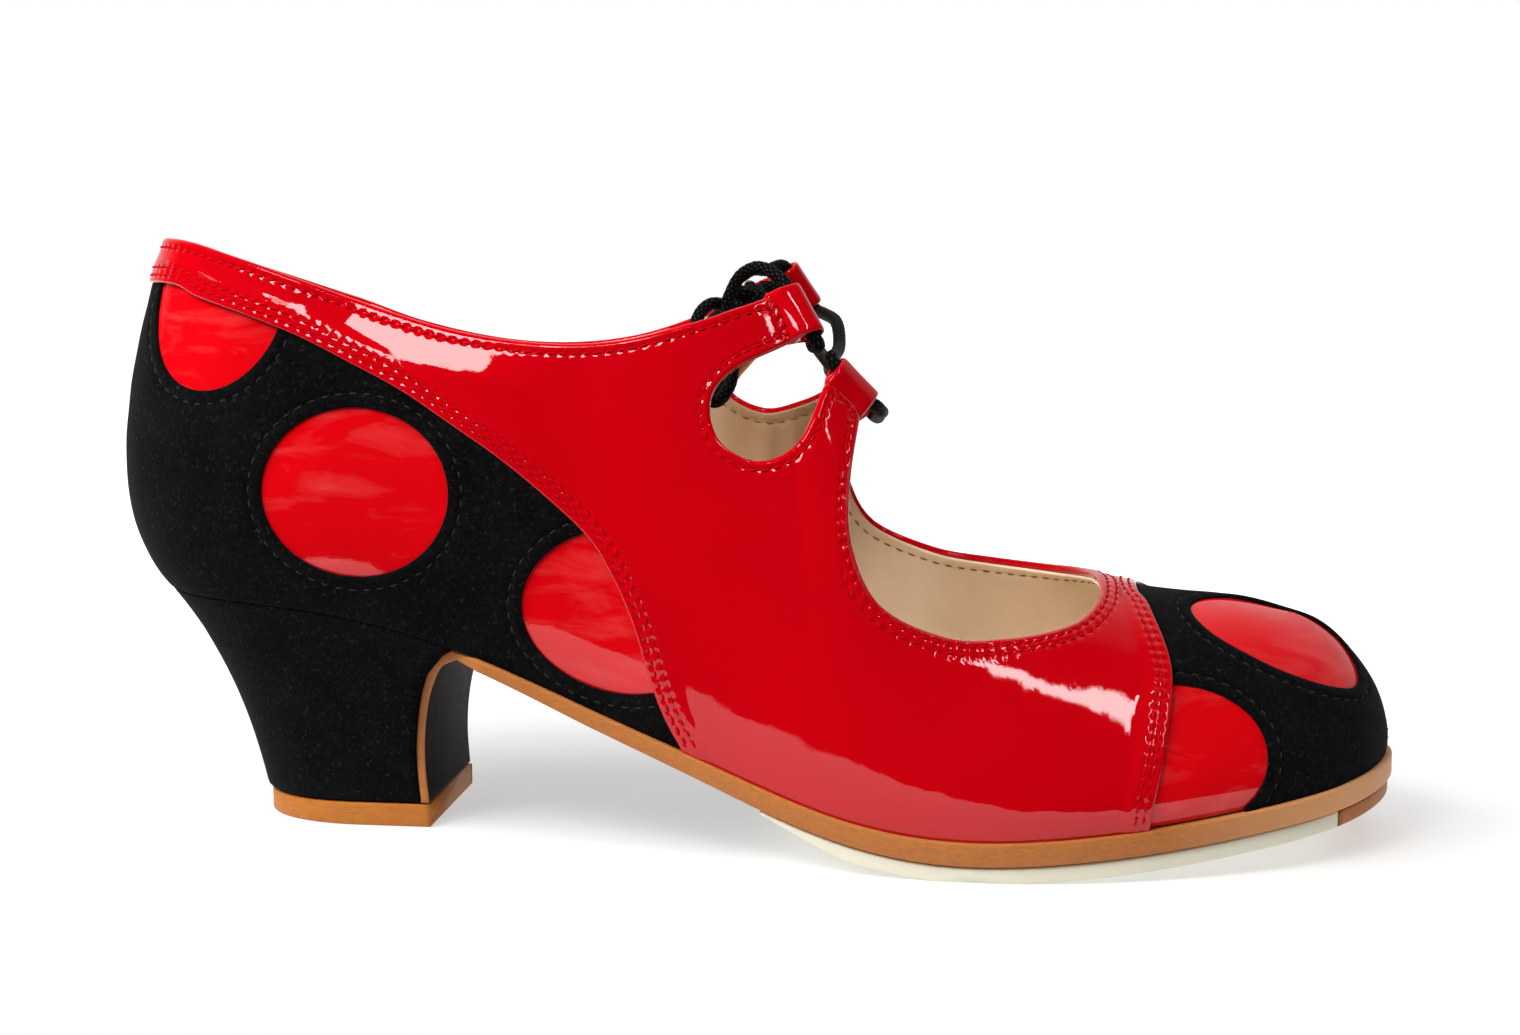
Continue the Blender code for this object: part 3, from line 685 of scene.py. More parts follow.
@functools.lru_cache
def skin():
    """The whole skin of the last, with its two sides joined along the ridge and at the toe."""
    turns = np.linspace(-LAST.end, LAST.end, 2 * LAST.end * SKIN_STEPS_A_STATION + 1)
    shares = np.linspace(0, 1, SKIN_ROWS + 1)
    turn, share = (grid.ravel() for grid in np.meshgrid(turns, shares, indexing="ij"))
    place = skin_points(turn, share)
    normal = skin_normals(turn, share)
    rows = len(shares)
    a = (np.arange(len(turns) - 1)[:, None] * rows + np.arange(rows - 1)).ravel()
    b = a + rows
    faces = np.vstack([np.stack([a, b + 1, b], axis=1), np.stack([a, a + 1, b + 1], axis=1)])
    welded = np.round(place + WELD_SHIFT, WELD_DIGITS)
    _, first, which = np.unique(welded, axis=0, return_index=True, return_inverse=True)
    which = which.ravel()
    joined = np.zeros((len(first), 3))
    np.add.at(joined, which, normal)
    faces = which[faces]
    whole = (faces != np.roll(faces, 1, axis=1)).all(axis=1)
    points = {"place": place[first], "normal": unit(joined), "share": share[first]}
    sheet = Sheet(points, faces[whole])
    above = [(VAMP_EDGE[-1][0], CUT_TOP), (COLLAR_EDGE[0][0], CUT_TOP)]
    opening = closed_outline((COLLAR_EDGE, KEYHOLE_EDGE, VAMP_EDGE), above)
    quarter = closed_outline((QUARTER_SEAM,), [(QUARTER_SEAM[0][0], 0.0)])
    front = [(TOE_SEAM[-1][0], OUTLINE_TOP), (OUTLINE_FRONT, OUTLINE_TOP), (OUTLINE_FRONT, 0.0)]
    toe = closed_outline((TOE_SEAM,), front)
    sheet["leather"] = -side_distance(sheet["place"], opening, CUT_TURN)
    suede = np.maximum(side_distance(sheet["place"], quarter), side_distance(sheet["place"], toe))
    sheet["suede"] = suede
    sheet["red"] = -suede
    sheet["hole"] = np.min([dot_distance(sheet["place"], row) for row in DOT_ROWS], axis=0)
    return sheet.cut("leather")


# Making objects

# Coordinates of a piece's own pattern: strand and crossing on a cord, pucker and stitch on the red panel
PATTERN_LAYER = "pattern"


def in_metres(points):
    return (np.asarray(points, float) - np.array([*SHOE_MIDDLE, 0.0])) * MM


def add_piece(name, points, faces, looks, nodes=(), look_of_face=None, uv=None):
    """A smooth mesh piece that rides on the shoe, with its materials, and the nodes that it stands for."""
    data = bpy.data.meshes.new(name)
    data.from_pydata(in_metres(points).tolist(), [], [list(map(int, face)) for face in faces])
    if uv is not None:
        layer = data.uv_layers.new(name=PATTERN_LAYER)
        corners = np.empty(len(data.loops), dtype=np.int32)
        data.loops.foreach_get("vertex_index", corners)
        layer.data.foreach_set("uv", np.asarray(uv, np.float32)[corners].ravel())
    for look in looks:
        data.materials.append(look)
    if look_of_face is not None:
        data.polygons.foreach_set("material_index", np.asarray(look_of_face, np.int32))
    data.shade_smooth()
    data.validate()
    data.update()
    piece = bpy.data.objects.new(name, data)
    bpy.context.scene.collection.objects.link(piece)
    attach(piece, BODY)
    if nodes:
        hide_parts(*nodes)
    return piece


ROLL_STEPS = 6


def rolled_sheet(sheet, radius, tail, inside_out=False):
    """Points and faces of a sheet at its height, with its border rolled round and tucked under."""
    facing = -1.0 if inside_out else 1.0
    points = sheet.raised()
    faces = sheet.faces[:, ::-1] if inside_out else sheet.faces
    normal = sheet["normal"] * facing
    edges = Sheet({"place": points}, faces).border()
    start, end = edges.T
    along = points[end] - points[start]
    away = np.zeros_like(points)
    across = np.cross(along, normal[start] + normal[end])
    np.add.at(away, start, across)
    np.add.at(away, end, across)
    rim = np.unique(edges)
    slot_of = np.full(len(points), -1)
    slot_of[rim] = np.arange(len(rim))
    out = unit(away[rim])
    up = normal[rim]
    round_off = radius[rim][:, None]
    rings = []
    for turn in np.linspace(0, math.pi, ROLL_STEPS + 1)[1:]:
        rings.append(points[rim] + out * round_off * math.sin(turn) - up * round_off * (1 - math.cos(turn)))
    rings.append(points[rim] - out * tail - up * 2 * round_off)
    total = [tuple(face) for face in faces]
    before = (start, end)
    for i in range(len(rings)):
        first = len(points) + i * len(rim)
        now = (first + slot_of[start], first + slot_of[end])
        total += list(zip(before[1], before[0], now[0], now[1]))
        before = now
    return np.vstack([points, *rings]), total


def loft(sections, close_ends=True):
    """Points and faces of a solid through closed sections of equal count."""
    count = len(sections[0])
    faces = []
    for i in range(len(sections) - 1):
        for j in range(count):
            k = (j + 1) % count
            faces.append((i * count + j, i * count + k, (i + 1) * count + k, (i + 1) * count + j))
    if close_ends:
        faces.append(tuple(range(count))[::-1])
        faces.append(tuple(range((len(sections) - 1) * count, len(sections) * count)))
    return np.vstack(sections), faces


def turned_outwards(piece):
    """Turns the faces of a closed piece so that all of them look outwards."""
    shape = bmesh.new()
    shape.from_mesh(piece.data)
    bmesh.ops.recalc_face_normals(shape, faces=shape.faces)
    shape.to_mesh(piece.data)
    shape.free()


# A stitch along its length: place, lift over the leather and thickness, as shares of its length and radius
STITCH_WAY = (0.0, 0.2, 0.5, 0.8, 1.0)
STITCH_LIFT = (-0.7, 0.2, 0.5, 0.2, -0.7)
STITCH_THICKNESS = (0.5, 0.9, 1.0, 0.9, 0.5)
STITCH_SIDES = 7


def add_stitches(name, lines, pitch, stitch, look):
    """Short rounded threads along lines, each one diving into the leather at both ends."""
    length, radius = stitch
    points = []
    faces = []
    spokes = np.linspace(0, 2 * math.pi, STITCH_SIDES, endpoint=False)
    for places, normals in lines:
        run = run_lengths(places)
        count = int(run[-1] // pitch)
        if count < 2:
            continue
        step = run[-1] / count
        for start in np.arange(count) * step + (step - length) / 2:
            at = start + length * np.array(STITCH_WAY)
            middle = read_off(at, run, places)
            normal = unit(read_off(at, run, normals))
            along = unit(middle[-1] - middle[0])
            across = unit(np.cross(normal, along))
            middle = middle + normal * radius * np.array(STITCH_LIFT)[:, None]
            first = len(points) * STITCH_SIDES
            for centre, up, beside, thickness in zip(middle, normal, across, STITCH_THICKNESS):
                reach = radius * thickness
                ring = np.outer(np.cos(spokes), up) + np.outer(np.sin(spokes), beside)
                points.append(centre + ring * reach)
            for i in range(len(STITCH_WAY) - 1):
                a = first + i * STITCH_SIDES
                for j in range(STITCH_SIDES):
                    k = (j + 1) % STITCH_SIDES
                    faces.append((a + j, a + STITCH_SIDES + j, a + STITCH_SIDES + k, a + k))
    return add_piece(name, np.vstack(points), faces, [look])


# Materials

def add_node(tree, kind, sockets=None, **settings):
    """Adds a shader node with its settings. A socket gets a value, or a link from another node's socket."""
    made = tree.nodes.new("ShaderNode" + kind)
    for name, value in settings.items():
        setattr(made, name, value)
    for name, value in (sockets or {}).items():
        if isinstance(value, bpy.types.NodeSocket):
            tree.links.new(value, made.inputs[name])
        else:
            made.inputs[name].default_value = value
    return made


def shade(colour, factor):
    return (*(min(channel * factor, 1.0) for channel in tuple(colour)[:3]), 1.0)


class Look:
    """A material in the making: its node tree, its shader and the object's own coordinates."""

    def __init__(self, name, **values):
        self.material = bpy.data.materials.new(name)
        self.material.use_nodes = True
        self.tree = self.material.node_tree
        self.shader = self.tree.nodes["Principled BSDF"]
        for socket, value in values.items():
            self.shader.inputs[socket.replace("_", " ")].default_value = value
        self.place = add_node(self.tree, "TexCoord").outputs["Object"]

    def noise(self, millimetres, detail, place=None, **sockets):
        """Cloudy noise with features of this size."""
        sockets.update({"Vector": place or self.place, "Scale": 1 / (millimetres * MM), "Detail": detail})
        return add_node(self.tree, "TexNoise", sockets).outputs["Fac"]

    def cells(self, millimetres, place=None):
        """Distance from the middle of cells of this size."""
        sockets = {"Vector": place or self.place, "Scale": 1 / (millimetres * MM)}
        return add_node(self.tree, "TexVoronoi", sockets).outputs["Distance"]

    def stretched(self, *scale):
        """The object's coordinates scaled along each axis, so that a pattern is drawn out or pressed flat."""
        return add_node(self.tree, "Mapping", {"Vector": self.place, "Scale": scale}).outputs["Vector"]

    def pattern(self):
        """The two coordinates of the piece's own pattern."""
        sewn = add_node(self.tree, "UVMap", uv_map=PATTERN_LAYER).outputs["UV"]
        split = add_node(self.tree, "SeparateXYZ", {"Vector": sewn})
        return split.outputs["X"], split.outputs["Y"]

    def maths(self, operation, *terms):
        return add_node(self.tree, "Math", dict(enumerate(terms)), operation=operation).outputs["Value"]

    def mapped(self, value, start=(0.0, 1.0), goal=(0.0, 1.0)):
        """A value carried over from one span to another and held at its ends."""
        sockets = {
            "Value": value, "From Min": start[0], "From Max": start[1], "To Min": goal[0], "To Max": goal[1],
        }
        return add_node(self.tree, "MapRange", sockets).outputs["Result"]

    def mixed(self, amount, first, second):
        """One colour going over into another."""
        sockets = {"Fac": amount, "Color1": first, "Color2": second}
        return add_node(self.tree, "MixRGB", sockets).outputs["Color"]

    def tones(self, amount, colour, dark, pale):
        """A colour going from a darker to a paler shade of itself."""
        return self.mixed(amount, shade(colour, dark), shade(colour, pale))

    def bump(self, height, strength, distance, under=None):
        sockets = {"Height": height, "Strength": strength, "Distance": distance}
        if under:
            sockets["Normal"] = under
        return add_node(self.tree, "Bump", sockets).outputs["Normal"]

    def finish(self, **sources):
        """Links the shader's sockets and gives the material."""
        for socket, source in sources.items():
            self.tree.links.new(source, self.shader.inputs[socket.replace("_", " ")])
        return self.material


# Clear lacquer over dyed leather that hardly shines by itself
LACQUER = {"Roughness": 0.5, "IOR": 1.5, "Specular_IOR_Level": 0.0, "Coat_Weight": 1.0, "Coat_IOR": 1.5}


@functools.lru_cache
def red_patent_leather():
    """Leather under a poured film of clear lacquer: deep colour, mirror gloss, a faint lazy waviness.

    Along a row of stitches the film is drawn in, so that it glints between each two stitches.
    """
    look = Look("red_patent_leather", Coat_Roughness=0.03, **LACQUER)
    tone = look.tones(look.noise(30, 2), colours().patent, 0.86, 1.08)
    drawn, stitch = look.pattern()
    wave = look.maths("COSINE", look.maths("MULTIPLY", stitch, 2 * math.pi))
    pucker = look.bump(look.maths("MULTIPLY", wave, drawn), 1.0, 0.00008)
    film = look.bump(look.noise(4, 5, Roughness=0.6), 0.5, 0.00004, pucker)
    return look.finish(Base_Color=tone, Normal=pucker, Coat_Normal=film)


# Pale pink of the painted reflections streaked over the dots' red
PAINTED_REFLECTION_COLOUR = "#F27A78"


def patent_leather_painted_reflections():
    """Patent leather pulled tight under the cut-outs: bright red, with pale level streaks of painted
    reflection.
    """
    look = Look("patent_leather_painted_reflections", Coat_Roughness=0.04, **LACQUER)
    tone = look.tones(look.noise(25, 2), colours().dots, 0.85, 1.15)
    streaks = look.noise(6, 4, look.stretched(0.3, 0.3, 1.0), Roughness=0.6, Distortion=0.8)
    # Painted reflection: pale streaks mixed into the base colour
    painted_reflection_amount = look.mapped(streaks, (0.5, 0.8), (0.0, 0.2))
    with_painted_reflections = look.mixed(painted_reflection_amount, tone, linear(PAINTED_REFLECTION_COLOUR))
    return look.finish(Base_Color=with_painted_reflections, Coat_Normal=look.bump(streaks, 0.5, 0.00005))


FIBRE_TIP_COLOUR = "#5A5A5C"


@functools.lru_cache
def black_suede():
    """Leather buffed on its flesh side: a matt velvety nap in clouds, with a few pale fibres in it."""
    look = Look(
        "black_suede", Roughness=0.95, Specular_IOR_Level=0.04, Sheen_Weight=0.035, Sheen_Roughness=0.5,
        Sheen_Tint=(0.6, 0.6, 0.62, 1.0),
    )
    # The nap's fibres are about 0.1 mm apart. They are drawn at 0.6 mm so that they show.
    nap = look.noise(0.6, 3)
    tone = look.tones(look.maths("MULTIPLY", look.noise(9, 3), nap), colours().suede, 0.05, 2.8)
    # Fibre ends stand up paler here and there, about one on each millimetre
    tip = look.mapped(look.noise(0.9, 4, Roughness=0.8), (0.56, 0.8), (0.0, 0.28))
    flecked = look.mixed(tip, tone, linear(FIBRE_TIP_COLOUR))
    return look.finish(Base_Color=flecked, Normal=look.bump(nap, 0.5, 0.0003))


# Painted shade: the lining is painted darker under the tabs, where the upper and the lace shade it. Place,
# colour, and the metres over which it fades
LINING_SHADE_PLACE = (125.0, 26.0, 72.0)
LINING_SHADE_COLOUR = "#94683F"
LINING_SHADE_FADE = (0.012, 0.036)


def beige_lining_leather():
    """Thin dyed lining leather: fine pores, a soft satin shine, painted shade darkening it under the tabs."""
    look = Look("beige_lining_leather", Roughness=0.5, IOR=1.45)
    tone = look.tones(look.noise(14, 4), colours().lining, 0.82, 1.12)
    places = {0: look.place, 1: tuple(in_metres(LINING_SHADE_PLACE))}
    away = add_node(look.tree, "VectorMath", places, operation="DISTANCE").outputs["Value"]
    # Painted shade: darker beige mixed in close to the place under the tabs
    painted_shade_lining = look.mixed(look.mapped(away, LINING_SHADE_FADE, (0.8, 0.0)), tone, linear(LINING_SHADE_COLOUR))
    # Pores of 0.3 mm are drawn at 0.7 mm so that they show.
    return look.finish(Base_Color=painted_shade_lining, Normal=look.bump(look.cells(0.7), 0.35, 0.0001))


# The sole's edge is painted paler towards the toe, from the one place along the shoe to the other: partly a
# greyer scuffed tone, partly painted light where the toe end faces away from the lamps
SCUFF_AND_LIGHT_RUN = (200.0, 232.0)
SCUFF_AND_LIGHT_COLOUR = "#DDA06C"


def trimmed_sole_leather(name, colour, layer, scuff_and_light=None):
    """Bark-tanned leather trimmed and waxed on its edge: long fibres, dark specks and a dull shine."""
    look = Look(name, IOR=1.45)
    level = look.stretched(1.0, 1.0, 4.0)
    fibre = look.noise(layer, 5, level, Roughness=0.65)
    speck = look.mapped(look.cells(2.2, level), (0.16, 0.08), (0.0, 0.55))
    tone = look.mixed(speck, look.tones(fibre, colour, 0.62, 1.3), shade(colour, 0.3))
    # Paler towards the toe: scuffed tone and painted light together
    if scuff_and_light:
        along = add_node(look.tree, "SeparateXYZ", {"Vector": look.place}).outputs["X"]
        run = [in_metres((x, 0.0, 0.0))[0] for x in SCUFF_AND_LIGHT_RUN]
        tone = look.mixed(look.mapped(along, run, (0.0, 0.85)), tone, linear(scuff_and_light))
    rough = look.mapped(look.noise(7, 3), goal=(0.42, 0.68))
    return look.finish(Base_Color=tone, Roughness=rough, Normal=look.bump(fibre, 0.4, 0.0002))


def painted_sole_leather():
    """Sole leather under black edge paint, rubbed dull: dark, hardly any shine, the grain just showing."""
    look = Look("painted_sole_leather", IOR=1.04, Specular_IOR_Level=0.5)
    tone = look.tones(look.noise(8, 2), colours().breast, 0.6, 1.5)
    grain = look.noise(1.2, 4)
    rough = look.mapped(grain, goal=(0.32, 0.55))
    return look.finish(Base_Color=tone, Roughness=rough, Normal=look.bump(grain, 0.3, 0.00012))


def cream_sheet_rubber():
    """Moulded crepe-like rubber sheet, sanded at its edge: even, pale, dull, with a fine tooth."""
    look = Look("cream_sheet_rubber", IOR=1.5)
    cloud = look.noise(12, 3)
    tone = look.tones(cloud, colours().tread, 0.9, 1.06)
    rough = look.mapped(cloud, goal=(0.5, 0.72))
    return look.finish(Base_Color=tone, Roughness=rough, Normal=look.bump(look.noise(0.8, 2), 0.25, 0.0001))


def waxed_thread(name, colour):
    """Twisted polyester sewing thread with a wax finish: two tones of the twist and a soft shine."""
    look = Look(name, Roughness=0.6, IOR=1.5, Specular_IOR_Level=0.03)
    # The ply is 0.2 mm wide, drawn at 0.5 mm so that it shows.
    return look.finish(Base_Color=look.tones(look.noise(0.5, 1), colour, 0.7, 1.3))


@functools.lru_cache
def red_waxed_thread():
    return waxed_thread("red_waxed_thread", colours().red_thread)


# The braid: strands each way round the cord, how long one crossing is, and how far a strand stands out
BRAID_STRANDS = 8
BRAID_CROSSING = 1.5
BRAID_RELIEF = 0.09
# The pale of the painted highlight on each strand's crown
PAINTED_STRAND_HIGHLIGHT = "#3A3A3C"


def braided_polyester_cord():
    """Shiny black filament braided round a core: crossing strands, each with a small painted highlight on its
    crown.
    """
    look = Look("braided_polyester_cord", Roughness=0.55, IOR=1.5, Specular_IOR_Level=0.06)
    across, onward = look.pattern()
    waves = []
    for operation in ("ADD", "SUBTRACT"):
        turns = look.maths("MULTIPLY", look.maths(operation, across, onward), math.pi)
        waves.append(look.maths("ABSOLUTE", look.maths("SINE", turns)))
    # Painted highlight: the strands' crowns are mixed pale
    pale = look.mapped(look.maths("MULTIPLY", *waves), (0.7, 0.98), (0.0, 0.9))
    return look.finish(Base_Color=look.mixed(pale, shade(colours().cord, 0.6), linear(PAINTED_STRAND_HIGHLIGHT)))


def rolled_copper():
    """Thin copper-plated sheet rolled tight: warm metal, dulled in small clouds by handling."""
    look = Look("rolled_copper", Metallic=1.0, Base_Color=colours().tip)
    return look.finish(Roughness=look.mapped(look.noise(1.0, 3), goal=(0.2, 0.45)))


# Stage

# The pale floor ends a little in front of the shoe, where the studio is dark.
# Metres: left, right, front, back
FLOOR = (-1.0, 1.0, -0.135, 1.2)
WHITE = (1.0, 1.0, 1.0, 1.0)
PAPER_COLOURS = ("#B4B4B4", "#B8B8B8")
# Each lamp: turn from the camera's side, rise and roll in degrees, distance, width and height in metres,
# watts, and whether the gloss of the leather shows it
LAMPS = (
    ("vamp_softbox", 55.0, 53.2, 58, 0.95, 0.37, 0.05, 0.79, True),
    ("collar_softbox", -24, 46, 0, 0.9, 0.24, 0.24, 2.4, True),
    ("left_fill", -62, 42, 0, 0.62, 0.5, 0.4, 4.6, False),
    ("top_fill", 0, 70, 0, 0.9, 0.8, 0.5, 3.4, False),
)
LAMP_AIM = (0.0, 0.0, 0.05)


def set_camera():
    turn = math.radians(CAMERA_TURN)
    rise = math.radians(CAMERA_RISE)
    ahead = np.array([-math.sin(turn) * math.cos(rise), math.cos(turn) * math.cos(rise), -math.sin(rise)])
    data = bpy.data.cameras.new("camera")
    data.sensor_fit = "HORIZONTAL"
    data.sensor_width = SENSOR_WIDTH
    data.lens = FOCAL_PIXELS / PICTURE_WIDTH * SENSOR_WIDTH
    data.clip_start = 0.01
    camera = bpy.data.objects.new("camera", data)
    camera.location = in_metres(np.array(CAMERA_AIM) - CAMERA_DISTANCE * ahead)
    camera.rotation_euler = Vector(ahead).to_track_quat("-Z", "Y").to_euler()
    bpy.context.scene.collection.objects.link(camera)
    bpy.context.scene.camera = camera


def set_world():
    """A white wall behind the shoe and a dark room in front of it; the camera sees plain white."""
    world = bpy.data.worlds.new("studio")
    world.use_nodes = True
    tree = world.node_tree
    tree.nodes.clear()
    direction = add_node(tree, "TexCoord").outputs["Generated"]
    backwards = add_node(tree, "SeparateXYZ", {"Vector": direction}).outputs["Y"]
    span = {"From Min": 0.15, "From Max": 0.8, "To Min": 0.015, "To Max": 0.7}
    behind = add_node(tree, "MapRange", {"Value": backwards, **span}).outputs["Result"]
    room = add_node(tree, "Background", {"Color": WHITE, "Strength": behind}).outputs["Background"]
    paper = add_node(tree, "Background", {"Color": WHITE, "Strength": 1.0}).outputs["Background"]
    seen = add_node(tree, "LightPath").outputs["Is Camera Ray"]
    surface = add_node(tree, "MixShader", {"Fac": seen, 1: room, 2: paper}).outputs["Shader"]
    add_node(tree, "OutputWorld", {"Surface": surface})
    bpy.context.scene.world = world


def set_floor():
    left, right, front, back = FLOOR
    data = bpy.data.meshes.new("floor")
    corners = [(left, front, 0), (right, front, 0), (right, back, 0), (left, back, 0)]
    data.from_pydata(corners, [], [(0, 1, 2, 3)])
    look = Look("white_studio_paper", Roughness=0.9, Specular_IOR_Level=0.1, Emission_Color=WHITE)
    # The paper glows as painted light, least under the shoe, so that the shoe's shadow still shows
    oval = look.stretched(0.6, 1.0, 1.0)
    away = add_node(look.tree, "VectorMath", {0: oval}, operation="LENGTH").outputs["Value"]
    painted_floor_light = look.mapped(away, (0.07, 0.24), (0.5, 1.0))
    tone = look.mixed(look.noise(60, 2), *(linear(colour) for colour in PAPER_COLOURS))
    data.materials.append(look.finish(Base_Color=tone, Emission_Strength=painted_floor_light))
    floor = bpy.data.objects.new("floor", data)
    bpy.context.scene.collection.objects.link(floor)


def set_lamps():
    for name, turn, rise, roll, distance, width, height, power, shows in LAMPS:
        a, e = math.radians(turn), math.radians(rise)
        towards = Vector((math.sin(a) * math.cos(e), -math.cos(a) * math.cos(e), math.sin(e)))
        data = bpy.data.lights.new(name, "AREA")
        data.shape = "RECTANGLE"
        data.size = width
        data.size_y = height
        data.energy = power
        lamp = bpy.data.objects.new(name, data)
        lamp.visible_glossy = shows
        lamp.location = Vector(LAMP_AIM) + towards * distance
        aimed = (-towards).to_track_quat("-Z", "Y")
        lamp.rotation_euler = (aimed @ Quaternion((0, 0, 1), math.radians(roll))).to_euler()
        bpy.context.scene.collection.objects.link(lamp)


# Lace

def tube(path, closed=False, relief=BRAID_RELIEF, radii=None):
    """Points, faces and braid coordinates of a round cord along a path."""
    radius = size("lace_diameter") / 2
    ahead = np.roll(path, -1, axis=0) if closed else np.vstack([path[1:], 2 * path[-1] - path[-2]])
    behind = np.roll(path, 1, axis=0) if closed else np.vstack([2 * path[0] - path[1], path[:-1]])
    along = unit(ahead - behind)
    side = unit(np.cross(along[0], (0.0, 0.0, 1.0)))
    spokes = np.linspace(0, 2 * math.pi, CORD_SIDES + 1)
    run = run_lengths(path)
    points = []
    uv = []
    for i, centre in enumerate(path):
        side = unit(side - along[i] * (side @ along[i]))
        up = np.cross(along[i], side)
        across = spokes * BRAID_STRANDS / (2 * math.pi)
        onward = run[i] / BRAID_CROSSING
        crown = np.abs(np.sin(math.pi * (across + onward)) * np.sin(math.pi * (across - onward)))
        reach = (radius if radii is None else radii[i]) + relief * (crown - 0.5)
        ring = np.outer(np.cos(spokes), side) + np.outer(np.sin(spokes), up)
        points.append(centre + reach[:, None] * ring)
        uv.append(np.stack([across, np.full_like(across, onward)], axis=1))
    count = CORD_SIDES + 1
    rings = len(path)
    faces = []
    for i in range(rings if closed else rings - 1):
        a = i * count
        b = (i + 1) % rings * count
        faces += [(a + j, a + j + 1, b + j + 1, b + j) for j in range(CORD_SIDES)]
    if not closed:
        faces.append(tuple(range(CORD_SIDES))[::-1])
        faces.append(tuple(range((rings - 1) * count, (rings - 1) * count + CORD_SIDES)))
    return np.vstack(points), faces, np.vstack(uv)


def add_cord(name, path, look, nodes, closed=False):
    points, faces, uv = tube(path, closed)
    return add_piece(name, points, faces, [look], nodes, uv=uv)


def declare_cord(path):
    path = in_metres(path)
    size("lace_diameter") * MM


KNOT_STEPS = 90
KNOT_WIDTH = 0.92
KNOT_DEPTH = 1.7


def knot_path():
    """An overhand turn of the lace round itself, pulled tight."""
    t = np.linspace(0, 2 * math.pi, KNOT_STEPS, endpoint=False)
    flat = np.stack([np.sin(t) + 2 * np.sin(2 * t), np.cos(t) - 2 * np.cos(2 * t)], axis=1) * KNOT_WIDTH
    return np.stack([flat[:, 0], -np.sin(3 * t) * KNOT_DEPTH, flat[:, 1]], axis=1) + np.array(KNOT_PLACE)


# A tip's radius along its length, as shares of the lace's radius: pressed on, drawn in at the mouth
TIP_PROFILE = (
    (0.0, 0.6), (0.0, 1.06), (0.05, 1.1), (0.12, 1.03), (0.2, 1.02), (0.55, 1.0), (0.9, 0.97),
    (0.965, 0.9), (1.0, 0.6),
)
# The share of the tip that the cord fills, and the least step between two of its rings
TIP_FILL = 0.9
TIP_RING_STEP = 0.001


def make_lace():
    look = braided_polyester_cord()
    copper = rolled_copper()
    add_cord("braided_lace", even_curve(LACE_ROUTE, RING_STEP), look, ("lace",))
    knot = add_cord("tied_knot", knot_path(), look, ("lace_knot",), closed=True)
    for name, route in BOW_ROWS:
        path = even_curve(route, RING_STEP)
        piece = add_cord(name.replace("lace_bow", "bow_loop"), path, look, (name,))
        declare_cord(path)
    for name, tip_name, route in END_ROWS:
        path = even_curve(route, RING_STEP)
        along = unit(path[-1] - path[-2])
        mouth = path[-1] + along * GAP
        inside = path[-1] + along * np.arange(RING_STEP, GAP + TIP_LENGTH * TIP_FILL, RING_STEP)[:, None]
        whole = np.vstack([path, inside])
        piece = add_cord(name.replace("lace_end", "loose_end"), whole, look, (name,))
        steps, shares = np.array(TIP_PROFILE).T
        radius = size("lace_diameter") / 2
        spine = mouth + along * (steps * TIP_LENGTH + np.arange(len(steps)) * TIP_RING_STEP)[:, None]
        points, faces, _ = tube(spine, relief=0.0, radii=shares * (radius + BRAID_RELIEF))
        metal = tip_name.replace("lace_tip", "metal_tip")
        tip = add_piece(metal, points, faces, [copper], (tip_name,))
        declare_cord(whole)


# The upper

# Rows of stitches: distances from the opening's edge, from a seam, from a cut-out and from the lining's edge
VAMP_ROWS = (1.4, 3.0)
OPENING_ROW = 1.9
SEAM_ROWS = (1.5, 3.0)
HOLE_ROW = 2.55
LINING_ROW = 2.6
# Length and radius of a stitch
RED_STITCH = (1.7, 0.22)
SUEDE_STITCH = (1.5, 0.17)
LINING_STITCH = (1.7, 0.18)
TAB_STITCH = (1.4, 0.27)
LINING_PITCH = 2.6
# The trough along a row of stitches, and the puckers in it
TROUGH_WIDTH = 0.42
TROUGH_DEPTH = 0.15
LINING_TROUGH_DEPTH = 0.18
PUCKER_WIDTH = 0.55
# From a lace loop's axis: where the opening's row ends, and where a seam crosses the tab
TAB_CLEAR = 4.8
CROSS_SEAM = 5.2
CROSS_SEAM_WIDTH = 0.55
# The vamp's opening has two rows of stitches, in front of this place and below this height
VAMP_BACK = 138.5
VAMP_TOP = 74.0
# The seams' rows end this far from the opening's edge, and at this share of the wall over the sole
SEAM_ROW_CLEAR = 1.0
SEAM_ROW_FOOT = 0.015
# Unevenness of each layer: height, wavelength and seed
RED_RIPPLES = ((0.03, 16, 3), (0.011, 5, 21))
SUEDE_RIPPLE = (0.05, 11, 5)
DOT_RIPPLE = (0.04, 13, 8)
LINING_RIPPLE = (0.05, 18, 11)
# Radius of a border at the sole and of one that is covered, and how far each layer is turned under
SOLE_BORDER_RADIUS = 0.6
COVERED_RADIUS = 0.1
RED_TAIL = 1.2
SUEDE_TAIL = 0.6
DOT_TAIL = 0.2
LINING_TAIL = 0.3


def axis_distance(place):
    """How far each point lies from the nearest lace loop's axis."""
    nearest = np.full(len(place), np.inf)
    for _, back_end, front_end in LOOP_ROWS:
        start = np.array(back_end)
        run = np.array(front_end) - start
        part = np.clip((place - start) @ run / (run @ run), 0, 1)
        nearest = np.minimum(nearest, np.linalg.norm(place - start - part[:, None] * run, axis=1))
    return nearest


def on_vamp(place):
    return (place[:, 0] + place[:, 1] * CUT_TURN > VAMP_BACK) & (place[:, 2] < VAMP_TOP)


